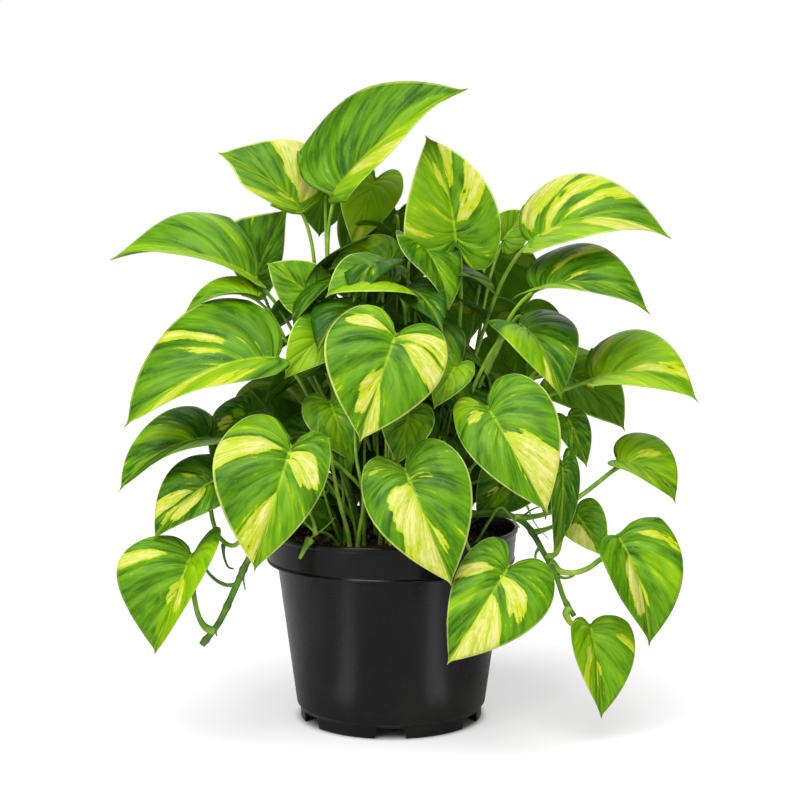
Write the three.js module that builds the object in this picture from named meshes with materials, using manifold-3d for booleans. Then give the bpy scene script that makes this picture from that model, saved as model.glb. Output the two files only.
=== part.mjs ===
// A golden pothos in a black nursery pot, life size.
// Millimetres, +Z up. The origin is on the ground under the middle of the pot,
// +X is to the right as the pot is seen from the front, and +Y goes away from there.
import * as THREE from 'three';
import Module from 'manifold-3d';
import { mergeVertices } from 'three/addons/utils/BufferGeometryUtils.js';

const wasm = await Module();
wasm.setup();

// ---------------------------------------------------------------- dimensions

// Nursery pot: a round tapered tub of 158 mm across the rim
const POT_HEIGHT = 120;
const RIM_RADIUS = 79; // outside of the rim band, at the top
const RIM_BAND = 21.5; // height of the rim band
const RIM_BAND_TAPER = 2.5; // how much narrower the band is at its lower edge
const NECK_RADIUS = 71; // outside of the wall, under the rim band
const SHOULDER_RADIUS = 59; // outside of the wall, just above the foot
const FOOT_RADIUS = 56.6;
const FOOT_HEIGHT = 8;
const WALL = 2.2;
const LIP_ROUND = 1.2; // rounding of the lip's outer and inner edge
const FLOOR_LEVEL = 6.8; // underside of the raised floor
const POT_SEGMENTS = 54;

// Drainage: six notches through the foot, and six holes in the floor
const NOTCHES = 6;
const NOTCH_WIDTH = 20; // at the ground
const NOTCH_TOP_WIDTH = 17;
const NOTCH_HEIGHT = 6.4;
const DRAIN_RADIUS = 4;
const DRAIN_CIRCLE = 38; // radius of the circle of holes

// Soil
const SOIL_EDGE = 111; // height of the soil at the wall
const SOIL_CROWN = 114; // and in the middle
const SOIL_SEGMENTS = 36;

// Plant
const CLEARANCE = 0.3; // between two pieces that touch
const BLADE_THICKNESS = 0.9; // at the midrib; the margin runs out to an edge
const PETIOLE_RADIUS = 1.25;
const PETIOLE_REACH = 6; // how far it runs on under the midrib
const PETIOLE_DEPTH = 0.5; // how deep its end lies under the blade's upper side
const PETIOLE_SIDES = 5;
const PETIOLE_STEPS = 7;
const STEM_SIDES = 7;
const STEM_STEPS = 9;
const VINE_STEPS = 16;
const FAN = 0.3; // share of the half outline whose veins start at the petiole
const VEIN_SWEEP = 1.15; // how the other veins crowd towards the base
const VEIN_BOW = 0.2; // how much the veins bow towards the tip

// Half the outline of a heart-shaped blade, from the notch where the petiole joins,
// round the lobe and down to the tip. Each point is a share of the half width and of the length.
const OUTLINE = new THREE.SplineCurve([
  [0, 0], [0.1, -0.115], [0.38, -0.215], [0.74, -0.165], [0.965, 0.02], [1, 0.24],
  [0.86, 0.47], [0.58, 0.69], [0.27, 0.86], [0.065, 0.955], [0, 1],
].map(([across, along]) => new THREE.Vector2(across, along)));
const BLADE_ROWS = 10;
const BLADE_COLUMNS = 2;

// Stems, by the points that each one grows through, from its root end in the soil
const STEMS = {
  left_stem: { radius: 2.2, through: [[-16, -8, 97], [-20, -10, 122], [-27, -12, 150], [-36, -12, 176]] },
  front_stem: { radius: 2.2, through: [[-2, -22, 97], [-2, -28, 120], [0, -32, 146]] },
  right_stem: { radius: 2.2, through: [[16, -8, 97], [20, -9, 124], [28, -10, 152], [38, -10, 178]] },
  back_left_stem: { radius: 2.2, through: [[-14, 14, 97], [-18, 16, 130], [-26, 18, 170], [-32, 20, 205]] },
  back_right_stem: { radius: 2.2, through: [[16, 14, 97], [22, 17, 130], [30, 22, 168], [38, 26, 200]] },
  back_stem: { radius: 2.2, through: [[0, 30, 97], [0, 36, 124], [2, 44, 152], [4, 50, 178]] },
  left_vine: {
    radius: 2.5, steps: VINE_STEPS,
    through: [[-24, -20, 97], [-34, -28, 124], [-52, -42, 134], [-72, -54, 125],
      [-84, -56, 109], [-92, -57, 92], [-102, -57, 71], [-112, -57, 58]],
  },
  right_vine: {
    radius: 2.5, steps: VINE_STEPS,
    through: [[28, -16, 97], [36, -20, 120], [51, -25, 131], [68, -30, 132], [81, -36, 127],
      [92, -41, 110], [99, -45, 97], [104, -46, 83], [110, -47, 73]],
  },
};

// Leaves. Each has the stem that it grows on and how far along it, the places of its
// base (where the petiole joins) and tip, the way its upper side faces, and its width.
// arch lifts the midrib's middle, sway bows it sideways, fold raises the left and right
// halves in degrees, curl bends them further, left is the left half's share of the width,
// lobe stretches the lobes behind the base, ovate moves the widest part of each half
// towards the tip, and bow leans the petiole aside.
// Left and right are as seen from the upper side, with the tip up.
const LEAVES = {
  crown: { on: 'back_left_stem', at: 1, base: [-36, -5, 324], tip: [46, -20, 387], face: [-0.5, -0.6, 0.55],
    width: 94, arch: 4, sway: -7, fold: [26, 24], left: 0.54, lobe: 0.3, ovate: [-0.04, 0] },
  top_left: { on: 'back_left_stem', at: 0.85, base: [-54, 20, 314], tip: [-108, 25, 351], face: [-0.1, -0.5, 0.85],
    width: 73, arch: 5, fold: [20, 28], curl: [0, -30], left: 0.43, lobe: 0.2, ovate: [0.3, 0.1] },
  left_high: { on: 'back_left_stem', at: 0.68, base: [-84, 20, 272], tip: [-179, 38, 284], face: [-0.1, -0.5, 0.85],
    width: 70, arch: 14, fold: [31, 22], curl: [0, -30], left: 0.4, lobe: 0.15, ovate: [0, 0.34] },
  left_upright: { on: 'back_left_stem', at: 0.58, base: [-88, 50, 271], tip: [-66, 46, 317], face: [-0.3, -1, 0.2],
    width: 44, arch: 3, fold: [20, 20], left: 0.66, ovate: [0.35, 0], bow: [8, 0, 0] },
  left_under: { on: 'left_stem', at: 0.95, base: [-81, -7, 262], tip: [-127, -12, 250], face: [-0.1, -0.5, 0.85],
    width: 30, arch: 9, fold: [30, 10], curl: [0, -20], left: 0.28, lobe: 0.3 },
  left_big: { on: 'left_stem', at: 0.8, base: [-67, -45, 228], tip: [-156, -60, 188], face: [-0.1, -0.5, 0.85],
    width: 86, arch: 13, fold: [18, 26], curl: [-10, -30], left: 0.36, lobe: 0.35, ovate: [0.1, 0.04] },
  left_low: { on: 'left_stem', at: 0.5, base: [-109, -35, 179], tip: [-162, -45, 148], face: [-0.1, -0.5, 0.85],
    width: 54, arch: 9, fold: [26, 26], curl: [0, -30], left: 0.46, lobe: 0.5 },
  left_dark: { on: 'left_stem', at: 0.3, base: [-87, -5, 189], tip: [-109, -15, 155],
    face: [-0.1, -0.7, 0.7], width: 38, arch: 4 },
  left_drop: { on: 'left_vine', at: 0.54, base: [-103, -50, 156], tip: [-139, -62, 122],
    face: [-0.2, -0.7, 0.7], width: 46, arch: 6, fold: [26, 26] },
  heart_left: { on: 'front_stem', at: 0.55, base: [-57, -80, 178], tip: [-77, -98, 110],
    face: [0, -1, 0.3], width: 66, arch: 6, fold: [12, 12], curl: [-25, -25], left: 0.38 },
  trail_left: { on: 'left_vine', at: 0.93, base: [-117, -62, 112], tip: [-138, -72, 56], face: [0, -1, 0.3],
    width: 60, arch: 6, fold: [60, 12], curl: [-20, -25], left: 0.36, lobe: 0.9, ovate: [-0.14, 0.16] },
  heart_centre: { on: 'front_stem', at: 1, base: [3, -84, 243], tip: [-17, -98, 184],
    face: [0, -1, 0.3], width: 70, arch: 6, fold: [12, 12], curl: [-25, -25], left: 0.47 },
  heart_front: { on: 'front_stem', at: 0.8, base: [9, -88, 166], tip: [35, -104, 103],
    face: [0, -1, 0.3], width: 62, arch: 6, fold: [12, 12], curl: [-25, -25], left: 0.53 },
  heart_right: { on: 'right_stem', at: 0.55, base: [57, -72, 200], tip: [90, -92, 142],
    face: [0, -1, 0.3], width: 58, arch: 6, fold: [12, 12], curl: [-25, -25], left: 0.59 },
  heart_low: { on: 'right_vine', at: 0.36, base: [67, -92, 111], tip: [32, -108, 59], face: [0, -1, 0.3],
    width: 56, arch: 6, fold: [12, 12], curl: [-25, -25], left: 0.57, ovate: [-0.05, 0] },
  top_right: { on: 'back_right_stem', at: 0.95, base: [39, -20, 297], tip: [21, -10, 360], face: [0, -1, 0.2],
    width: 60, arch: 4, sway: 3, left: 0.53, ovate: [-0.1, -0.06] },
  right_high: { on: 'back_right_stem', at: 0.8, base: [85, -10, 296], tip: [168, -25, 298], face: [0.1, -0.5, 0.85],
    width: 76, arch: 16, fold: [28, 14], curl: [-30, -10], left: 0.56, lobe: 0.3, ovate: [0.04, 0.1] },
  right_second: { on: 'right_stem', at: 1, base: [86, -35, 268], tip: [152, -55, 254], face: [0.1, -0.5, 0.85],
    width: 62, arch: 12, fold: [28, 24], curl: [-30, -10], left: 0.58, lobe: 0.4, bow: [0, 9, 0] },
  right_curl: { on: 'right_stem', at: 0.85, base: [78, -30, 246], tip: [100, -60, 204], face: [0.1, -0.7, 0.7],
    width: 50, arch: 10, fold: [18, 30], left: 0.56, bow: [-8, -12, 0] },
  right_side: { on: 'right_stem', at: 0.7, base: [121, -30, 213], tip: [182, -50, 202], face: [0.1, -0.5, 0.85],
    width: 60, arch: 13, fold: [30, 16], curl: [-30, -10], left: 0.6, lobe: 0.3, ovate: [0.02, 0.16] },
  right_back: { on: 'back_right_stem', at: 0.5, base: [104, 10, 214], tip: [146, 5, 178], face: [0.1, -0.6, 0.8],
    width: 52, arch: 8, fold: [28, 14], lobe: 0.3 },
  right_inner: { on: 'back_right_stem', at: 0.3, base: [107, -25, 190], tip: [118, -35, 161], face: [0.1, -1, 0.3],
    width: 22, arch: 3, lobe: 0.6 },
  right_small: { on: 'right_vine', at: 0.5, base: [137, -30, 165], tip: [171, -40, 140], face: [0.2, -0.6, 0.8],
    width: 42, arch: 8, fold: [28, 22], curl: [-30, -10], left: 0.62, lobe: 0.5, ovate: [0, 0.1], bow: [6, 0, -9] },
  trail_right: { on: 'right_vine', at: 0.74, base: [135, -50, 122], tip: [153, -62, 58], face: [0, -1, 0.3],
    width: 56, arch: 6, sway: -4, fold: [12, 54], curl: [-25, -20], left: 0.54, lobe: 0.1, ovate: [0.06, 0.1] },
  trail_end: { on: 'right_vine', at: 0.96, base: [119, -52, 68], tip: [125, -64, 15], face: [0, -1, 0.3],
    width: 44, arch: 4, sway: -1, fold: [12, 56], curl: [-25, -20], left: 0.55, lobe: 0.5, ovate: [0.05, 0.05] },
  pale: { on: 'right_vine', at: 0.6, base: [113, -22, 131], tip: [130, -34, 106], face: [0, -1, 0.3],
    width: 30, arch: 3, lobe: 0.6 },
  narrow: { on: 'right_stem', at: 0.25, base: [102, -45, 164], tip: [96, -60, 112],
    face: [0.5, -1, 0.3], width: 22, arch: 4 },
  behind_crown: { on: 'back_stem', at: 0.95, base: [-10, 30, 334], tip: [-24, 15, 292],
    face: [0, -1, 0.3], width: 40, arch: 4 },
  grey: { on: 'back_right_stem', at: 0.65, base: [71, 36, 297], tip: [87, 56, 315], face: [0.1, -1, 0.3],
    width: 26, arch: 3, bow: [3, -6, 0] },
  mid_left: { on: 'left_stem', at: 0.65, base: [-46, -10, 261], tip: [-76, -5, 283], face: [0, -1, 0.4],
    width: 36, arch: 3, bow: [6, -4, 0] },
  lit: { on: 'front_stem', at: 0.9, base: [-38, -30, 243], tip: [-63, -45, 215],
    face: [0, -1, 0.4], width: 34, arch: 4 },
  small_mid: { on: 'front_stem', at: 0.4, base: [11, -65, 197], tip: [4, -75, 168], face: [0, -1, 0.3],
    width: 32, arch: 3 },
  inner_left: { on: 'left_stem', at: 0.75, base: [-36, -34, 200], tip: [-24, -46, 166], face: [0, -1, 0.3],
    width: 38, arch: 4 },
  mid_right: { on: 'right_stem', at: 0.4, base: [38, -55, 224], tip: [25, -70, 200],
    face: [0, -1, 0.4], width: 26, arch: 3 },
  dark_top: { on: 'back_stem', at: 0.8, base: [0, -10, 284], tip: [-38, -10, 279], face: [0, -0.6, 0.8],
    width: 40, arch: 4, bow: [4, -6, 0] },
  edge_on: { on: 'back_left_stem', at: 0.3, base: [0, -45, 272], tip: [-38, -60, 264], face: [0, -0.55, 0.9],
    width: 50, arch: 6 },
  right_mid: { on: 'back_right_stem', at: 0.4, base: [104, -10, 242], tip: [81, -25, 233],
    face: [0, -0.8, 0.6], width: 26, arch: 3 },
  rim_right: { on: 'right_stem', at: 0.4, base: [78, -4, 152], tip: [52, -14, 126], face: [0, -1, 0.4],
    width: 40, arch: 4 },
  back_top: { on: 'back_stem', at: 0.88, base: [3, 50, 313], tip: [-10, 72, 246], face: [0, 1, 0.35],
    width: 72, arch: 5, fold: [12, 12] },
  back_left_high: { on: 'back_left_stem', at: 0.75, base: [-43, 47, 333], tip: [-47, 60, 298], face: [0, 1, 0.35],
    width: 42, arch: 4, fold: [12, 12] },
  back_right_high: { on: 'back_right_stem', at: 0.9, base: [64, 52, 286], tip: [74, 76, 234], face: [0.3, 1, 0.35],
    width: 62, arch: 5, fold: [12, 12] },
  back_heart_left: { on: 'back_left_stem', at: 0.4, base: [-44, 72, 206], tip: [-46, 94, 136], face: [-0.3, 1, 0.3],
    width: 64, arch: 6, fold: [12, 12] },
  back_heart: { on: 'back_stem', at: 0.8, base: [24, 84, 266], tip: [20, 108, 196], face: [0, 1, 0.3],
    width: 82, arch: 5, fold: [12, 12] },
  back_heart_right: { on: 'back_right_stem', at: 0.35, base: [56, 72, 222], tip: [68, 94, 156], face: [0.3, 1, 0.3],
    width: 66, arch: 6, fold: [12, 12] },
  back_left: { on: 'left_stem', at: 0.65, base: [-73, 49, 203], tip: [-85, 76, 150], face: [-0.5, 1, 0.4],
    width: 54, arch: 6, fold: [14, 14] },
  back_right: { on: 'right_stem', at: 0.65, base: [83, 30, 251], tip: [88, 56, 198], face: [0.3, 1, 0.4],
    width: 54, arch: 5, fold: [14, 14] },
  back_low_left: { on: 'back_left_stem', at: 0.2, base: [2, 92, 188], tip: [0, 110, 124], face: [0, 1, 0.4],
    width: 60, arch: 6, fold: [14, 14] },
  back_low_right: { on: 'back_stem', at: 0.4, base: [34, 92, 152], tip: [42, 110, 92], face: [0.2, 1, 0.4],
    width: 56, arch: 6, fold: [14, 14] },
  side_low_left: { on: 'left_stem', at: 0.23, base: [-70, 45, 152], tip: [-95, 85, 110], face: [-0.6, 0.4, 0.7],
    width: 50, arch: 8 },
  side_low_right: { on: 'right_stem', at: 0.3, base: [78, 48, 152], tip: [104, 86, 108],
    face: [0.6, 0.4, 0.7], width: 50, arch: 8 },
};

// Values of a leaf that doesn't state its own
const USUAL_LEAF = {
  arch: 8, sway: 0, fold: [28, 28], curl: [-30, -30], left: 0.5, lobe: 1, ovate: [0, 0], bow: [0, 0, 0],
};

// ---------------------------------------------------------------- materials

const finish = (color, roughness) => new THREE.MeshStandardMaterial({ color, roughness, metalness: 0 });
const potPlastic = () => finish(0x232324, 0.42);
const pottingSoil = () => finish(0x2a1d14, 0.95);
const stemSkin = () => finish(0x4f8f1f, 0.5);
const leafSkin = () => finish(0x6aa82a, 0.4);

// ---------------------------------------------------------------- solids

// A closed geometry as a solid that can be joined and cut
function solid(geometry) {
  const bare = geometry.index ? geometry.toNonIndexed() : geometry.clone();
  bare.deleteAttribute('normal');
  bare.deleteAttribute('uv');
  const welded = mergeVertices(bare, 1e-3);
  const corners = welded.index.array;
  const kept = [];
  for (let i = 0; i < corners.length; i += 3) {
    const [a, b, c] = corners.slice(i, i + 3);
    if (a !== b && b !== c && c !== a) kept.push(a, b, c);
  }
  return new wasm.Manifold(new wasm.Mesh({
    numProp: 3,
    vertProperties: new Float32Array(welded.attributes.position.array),
    triVerts: new Uint32Array(kept),
  }));
}

// A solid back as a geometry, with flat facets
function geometryOf(body) {
  const mesh = body.getMesh();
  const geometry = new THREE.BufferGeometry();
  geometry.setAttribute('position', new THREE.BufferAttribute(new Float32Array(mesh.vertProperties), 3));
  geometry.setIndex(Array.from(mesh.triVerts));
  geometry.computeVertexNormals();
  return geometry;
}

function named(name, body, material) {
  const mesh = new THREE.Mesh(geometryOf(body), material);
  mesh.name = name;
  return mesh;
}

// A round bar of the given radius along a curve
function bar(curve, radius, sides, steps) {
  const section = new THREE.Shape();
  for (let i = 0; i < sides; i += 1) {
    const turn = (2 * Math.PI * i) / sides;
    const point = [radius * Math.cos(turn), radius * Math.sin(turn)];
    if (i === 0) section.moveTo(...point);
    else section.lineTo(...point);
  }
  section.closePath();
  return solid(new THREE.ExtrudeGeometry(section, { steps, bevelEnabled: false, extrudePath: curve }));
}

// A ring or a disc: a profile of [radius, height] points, turned about the pot's axis
function turned(profile, segments) {
  const lathe = new THREE.LatheGeometry(profile.map(([r, z]) => new THREE.Vector2(r, z)), segments);
  lathe.rotateX(Math.PI / 2);
  return solid(lathe);
}

// ---------------------------------------------------------------- pot

const wallRadius = (height) => THREE.MathUtils.mapLinear(
  height, FOOT_HEIGHT, POT_HEIGHT - RIM_BAND, SHOULDER_RADIUS, NECK_RADIUS,
);

function potProfile() {
  const bandFoot = POT_HEIGHT - RIM_BAND;
  const floorTop = FLOOR_LEVEL + WALL;
  const bandInner = RIM_RADIUS - RIM_BAND_TAPER - WALL;
  return [
    [0, floorTop],
    [0, FLOOR_LEVEL],
    [FOOT_RADIUS - WALL, FLOOR_LEVEL],
    [FOOT_RADIUS - WALL, 0],
    [FOOT_RADIUS, 0],
    [FOOT_RADIUS, FOOT_HEIGHT],
    [SHOULDER_RADIUS, FOOT_HEIGHT + LIP_ROUND],
    [NECK_RADIUS, bandFoot],
    [RIM_RADIUS - RIM_BAND_TAPER, bandFoot],
    [RIM_RADIUS, POT_HEIGHT - LIP_ROUND],
    [RIM_RADIUS - LIP_ROUND / 3, POT_HEIGHT - LIP_ROUND / 3],
    [RIM_RADIUS - LIP_ROUND, POT_HEIGHT],
    [RIM_RADIUS - WALL, POT_HEIGHT],
    [bandInner, bandFoot + WALL],
    [NECK_RADIUS - WALL, bandFoot - WALL],
    [wallRadius(floorTop) - WALL, floorTop],
    [0, floorTop],
  ];
}

// One trapezoid notch through the foot, wider at the ground
function notch(turn) {
  const outline = new THREE.Shape();
  outline.moveTo(-NOTCH_WIDTH / 2, -1);
  outline.lineTo(NOTCH_WIDTH / 2, -1);
  outline.lineTo(NOTCH_TOP_WIDTH / 2, NOTCH_HEIGHT);
  outline.lineTo(-NOTCH_TOP_WIDTH / 2, NOTCH_HEIGHT);
  outline.closePath();
  const reach = 3 * WALL;
  const cutter = new THREE.ExtrudeGeometry(outline, { depth: 2 * reach, bevelEnabled: false });
  cutter.rotateX(Math.PI / 2);
  cutter.translate(0, reach - FOOT_RADIUS, 0);
  cutter.rotateZ(turn);
  return solid(cutter);
}

function drainHole(turn) {
  const cutter = new THREE.CylinderGeometry(DRAIN_RADIUS, DRAIN_RADIUS, 4 * WALL, 10);
  cutter.rotateX(Math.PI / 2);
  cutter.translate(DRAIN_CIRCLE, 0, FLOOR_LEVEL);
  cutter.rotateZ(turn);
  return solid(cutter);
}

function pot() {
  let body = turned(potProfile(), POT_SEGMENTS);
  for (let i = 0; i < NOTCHES; i += 1) {
    const turn = (2 * Math.PI * i) / NOTCHES;
    body = body.subtract(notch(turn)).subtract(drainHole(turn));
  }
  return body;
}

// ---------------------------------------------------------------- soil

function soilProfile() {
  const bottom = FLOOR_LEVEL + WALL + CLEARANCE;
  const bandFoot = POT_HEIGHT - RIM_BAND;
  const inside = WALL + CLEARANCE;
  const bandInner = RIM_RADIUS - RIM_BAND_TAPER - inside;
  return [
    [0, bottom],
    [wallRadius(bottom) - inside, bottom],
    [NECK_RADIUS - inside, bandFoot - WALL],
    [bandInner, bandFoot + WALL + CLEARANCE],
    [bandInner + 0.8, SOIL_EDGE],
    [bandInner * 0.6, (SOIL_EDGE + 2 * SOIL_CROWN) / 3],
    [0, SOIL_CROWN],
  ];
}

// The soil, with a socket for each stem that is rooted in it
function soil(sockets) {
  return sockets.reduce((body, socket) => body.subtract(socket), turned(soilProfile(), SOIL_SEGMENTS));
}

// ---------------------------------------------------------------- stems and leaves

const vector = (place) => new THREE.Vector3(...place);

const stemCurve = (stem) => new THREE.CatmullRomCurve3(stem.through.map(vector));

const stemBody = (stem, spare = 0) => bar(
  stemCurve(stem), stem.radius + spare, STEM_SIDES, stem.steps ?? STEM_STEPS,
);

// The directions of a blade at its base: along it, out of its upper side, and to its right
function bladeAxes(leaf) {
  const along = vector(leaf.tip).sub(vector(leaf.base)).normalize();
  const face = vector(leaf.face);
  const up = face.addScaledVector(along, -face.dot(along)).normalize();
  return { along, up, right: new THREE.Vector3().crossVectors(along, up) };
}

// The midrib is a quadratic curve, which also runs on behind the base under the lobes
function midrib(leaf) {
  const { up, right } = bladeAxes(leaf);
  const base = vector(leaf.base);
  const tip = vector(leaf.tip);
  const crest = base.clone().lerp(tip, 0.45).addScaledVector(up, 2 * leaf.arch);
  crest.addScaledVector(right, 2 * leaf.sway);
  return (along) => {
    const back = 1 - along;
    const place = base.clone().multiplyScalar(back * back);
    place.addScaledVector(crest, 2 * along * back).addScaledVector(tip, along * along);
    const ahead = crest.clone().sub(base).multiplyScalar(back);
    ahead.addScaledVector(tip.clone().sub(crest), along).normalize();
    const out = up.clone().addScaledVector(ahead, -ahead.dot(up)).normalize();
    return { place, out, right: new THREE.Vector3().crossVectors(ahead, out) };
  };
}

// A place on one half of a blade: t runs round the margin from notch to tip, and s from
// the midrib to the margin, along the veins. side is -1 for the left half and 1 for the right.
function bladePoint(leaf, rib, side, t, s) {
  const half = leaf.width * (side < 0 ? leaf.left : 1 - leaf.left);
  const edge = OUTLINE.getPoint(t);
  const start = Math.max(0, (t - FAN) / (1 - FAN)) ** VEIN_SWEEP;
  const shift = leaf.ovate[side < 0 ? 0 : 1] * edge.x * (1 - edge.y);
  const edgeAlong = (edge.y < 0 ? edge.y * leaf.lobe : edge.y) + shift;
  const bow = VEIN_BOW * s * (1 - s) * Math.sin(Math.PI * t) * edge.x;
  const along = start * (1 - s) + edgeAlong * s - bow;
  const away = edge.x * s * half;
  const fold = THREE.MathUtils.degToRad(leaf.fold[side < 0 ? 0 : 1]);
  const bend = THREE.MathUtils.degToRad(leaf.curl[side < 0 ? 0 : 1]) / half;
  const lean = fold + bend * away;
  const straight = Math.abs(bend) < 1e-6;
  const across = straight ? away * Math.cos(fold) : (Math.sin(lean) - Math.sin(fold)) / bend;
  const raised = straight ? away * Math.sin(fold) : (Math.cos(fold) - Math.cos(lean)) / bend;
  const { place, out, right } = rib(along);
  place.addScaledVector(right, side * across).addScaledVector(out, raised);
  const tilt = s === 0 ? 0 : lean; // the halves share one normal at the midrib
  const normal = out.multiplyScalar(Math.cos(tilt)).addScaledVector(right, -side * Math.sin(tilt));
  return { place, normal };
}

// A blade: four sheets, the upper and lower side of each half, that meet at the margin
function blade(leaf) {
  const rib = midrib(leaf);
  const places = [];
  for (const side of [-1, 1]) {
    for (const upper of [1, -1]) {
      const corner = (row, column) => {
        const t = row / BLADE_ROWS;
        const s = column / BLADE_COLUMNS;
        const { place, normal } = bladePoint(leaf, rib, side, t, s);
        const rising = Math.min(1, 3 * Math.max(0, s + t - FAN), 4 * (1 - t));
        const thick = BLADE_THICKNESS * (1 - s * s) * (row === 0 ? 0 : rising);
        return place.addScaledVector(normal, (upper * thick) / 2).toArray();
      };
      const triangle = (a, b, c) => places.push(...(side * upper > 0 ? [a, c, b] : [a, b, c]));
      for (let row = 0; row < BLADE_ROWS; row += 1) {
        for (let column = 0; column < BLADE_COLUMNS; column += 1) {
          const [a, b] = [corner(row, column), corner(row + 1, column)];
          const [c, d] = [corner(row + 1, column + 1), corner(row, column + 1)];
          triangle(a, b, c);
          triangle(a, c, d);
        }
      }
    }
  }
  const geometry = new THREE.BufferGeometry();
  geometry.setAttribute('position', new THREE.Float32BufferAttribute(places.flat(), 3));
  return solid(geometry);
}

// A petiole springs from its stem, rises, and comes in under the base of its blade
function petioleCurve(leaf) {
  const stem = stemCurve(STEMS[leaf.on]);
  const start = stem.getPointAt(leaf.at);
  const { along, up } = bladeAxes(leaf);
  const seat = midrib(leaf)(PETIOLE_REACH / leaf.width);
  const end = seat.place.addScaledVector(seat.out, -PETIOLE_DEPTH);
  const length = start.distanceTo(end);
  const outward = end.clone().sub(start).setZ(0).normalize();
  const depart = stem.getTangentAt(leaf.at).multiplyScalar(0.5).addScaledVector(outward, 0.55);
  depart.z += 0.45;
  const arrive = up.clone().multiplyScalar(0.5).addScaledVector(along, 0.8).normalize();
  const bow = vector(leaf.bow);
  const near = start.clone().addScaledVector(depart.normalize(), 0.38 * length).add(bow);
  const far = end.clone().addScaledVector(arrive, -0.3 * length).add(bow);
  return new THREE.CubicBezierCurve3(start, near, far, end);
}

// A leaf is its petiole and its blade, grown as one, and it is seated on its stem
function leafBody(leaf) {
  const petiole = bar(petioleCurve(leaf), PETIOLE_RADIUS, PETIOLE_SIDES, PETIOLE_STEPS);
  return petiole.add(blade(leaf)).subtract(stemBody(STEMS[leaf.on], CLEARANCE));
}

// ---------------------------------------------------------------- the whole plant

const plant = new THREE.Group();
plant.add(named('pot', pot(), potPlastic()));
plant.add(named('soil', soil(Object.values(STEMS).map((stem) => stemBody(stem, CLEARANCE))), pottingSoil()));
for (const [name, stem] of Object.entries(STEMS)) {
  plant.add(named(name, stemBody(stem), stemSkin()));
}
for (const [name, leaf] of Object.entries(LEAVES)) {
  plant.add(named(`leaf_${name}`, leafBody({ ...USUAL_LEAF, ...leaf }), leafSkin()));
}

export default plant;
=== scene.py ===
import math

import bpy
import numpy as np
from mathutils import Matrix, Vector


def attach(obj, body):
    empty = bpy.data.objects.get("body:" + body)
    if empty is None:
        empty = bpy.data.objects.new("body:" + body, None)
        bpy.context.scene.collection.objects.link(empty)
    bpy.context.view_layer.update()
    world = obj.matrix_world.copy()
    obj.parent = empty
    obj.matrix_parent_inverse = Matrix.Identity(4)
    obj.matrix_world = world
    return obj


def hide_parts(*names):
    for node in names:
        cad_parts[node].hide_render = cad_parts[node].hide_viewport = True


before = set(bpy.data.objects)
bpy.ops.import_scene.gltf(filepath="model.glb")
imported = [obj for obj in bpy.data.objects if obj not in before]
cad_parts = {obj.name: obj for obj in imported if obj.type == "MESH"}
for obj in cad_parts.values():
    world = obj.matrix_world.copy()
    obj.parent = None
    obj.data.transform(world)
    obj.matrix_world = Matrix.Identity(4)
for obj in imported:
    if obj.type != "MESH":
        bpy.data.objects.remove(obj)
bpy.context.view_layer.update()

MM = 0.001
SEED = 41

# ---------------------------------------------------------------- sizes, in millimetres

POT = dict(
    height=120, rim_radius=79, rim_band=21.5, band_taper=2.5, neck_radius=71, shoulder_radius=59,
    foot_radius=56.6, foot_height=8, wall=2.2, floor_level=6.8,
)
# The bead at the foot of the band: how far it stands out, the heights above the band's foot
# where that starts and ends and where it has run out, and how far it still stands out there
BEAD = dict(out=0.8, start=0.5, end=1.7, gone=2.4, left=0.2)
# The lip: how far it stands out, and how far below the top it starts and is at its full width
LIP = dict(out=0.9, foot=3.6, full=2.8)
# The step above the foot: how much wider the foot is at its top, and where the step starts
# below, and ends above, the foot's height
FOOT_STEP = dict(draft=0.3, below=0.6, above=1.2)
CORNER_RADIUS = 1.1
SHARP_ANGLE = 32  # degrees
NOTCH = dict(count=6, width=20, top_width=17, height=6.4)
DRAIN = dict(count=6, radius=4, circle=38)
SOIL = dict(edge=111, crown=114, spread=0.8)
CLEARANCE = 0.3  # between the pot and the soil

PETIOLE_RADIUS = 1.25  # under a blade of PETIOLE_FULL width or more
PETIOLE_FULL, PETIOLE_THIN = 60, 0.72  # and the share left under the smallest
PETIOLE_REACH = 6  # how far a petiole runs on under the midrib
PETIOLE_DEPTH = 0.5
PETIOLE_POINTS = 36
# How far a petiole runs on the way it leaves its stem, and the way it comes in, as shares of
# the straight distance
PETIOLE_LEAVE, PETIOLE_ARRIVE = 0.38, 0.3
MIDRIB_CREST = 0.45  # share of a blade's length where its arch is highest
STALK_SIDES = 14
BARE_STEM = 0.96  # share of a stem's radius between its rings
STEM_TAPER = 0.06
SPLINE_STEPS = 40

BLADE_ROWS, BLADE_COLUMNS = 84, 18
TOWARDS_MIDRIB = 1.15  # above 1 the columns crowd towards the midrib
VEINS = 9
USUAL_WIDTH = 70  # of a blade with the usual quilting and waves
UV_SCALE = 10  # units of the flat map of a blade for each metre
WELD_GRID = 2e-6  # metres
FAN = 0.22  # share of the half outline whose veins start at the petiole
VEIN_SWEEP = 3.0
VEIN_BOW = 0.3
END_WELD = 0.35  # points this close to the base or tip of a blade are that point
# Half the outline of a heart-shaped blade, from the notch at the petiole round the lobe
# to the tip, as shares of the half width and of the length
OUTLINE = np.array([
    (0, 0), (0.12, -0.13), (0.39, -0.225), (0.73, -0.175), (0.96, 0.02), (1, 0.24),
    (0.86, 0.47), (0.57, 0.69), (0.245, 0.86), (0.05, 0.95), (0, 1),
])

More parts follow.
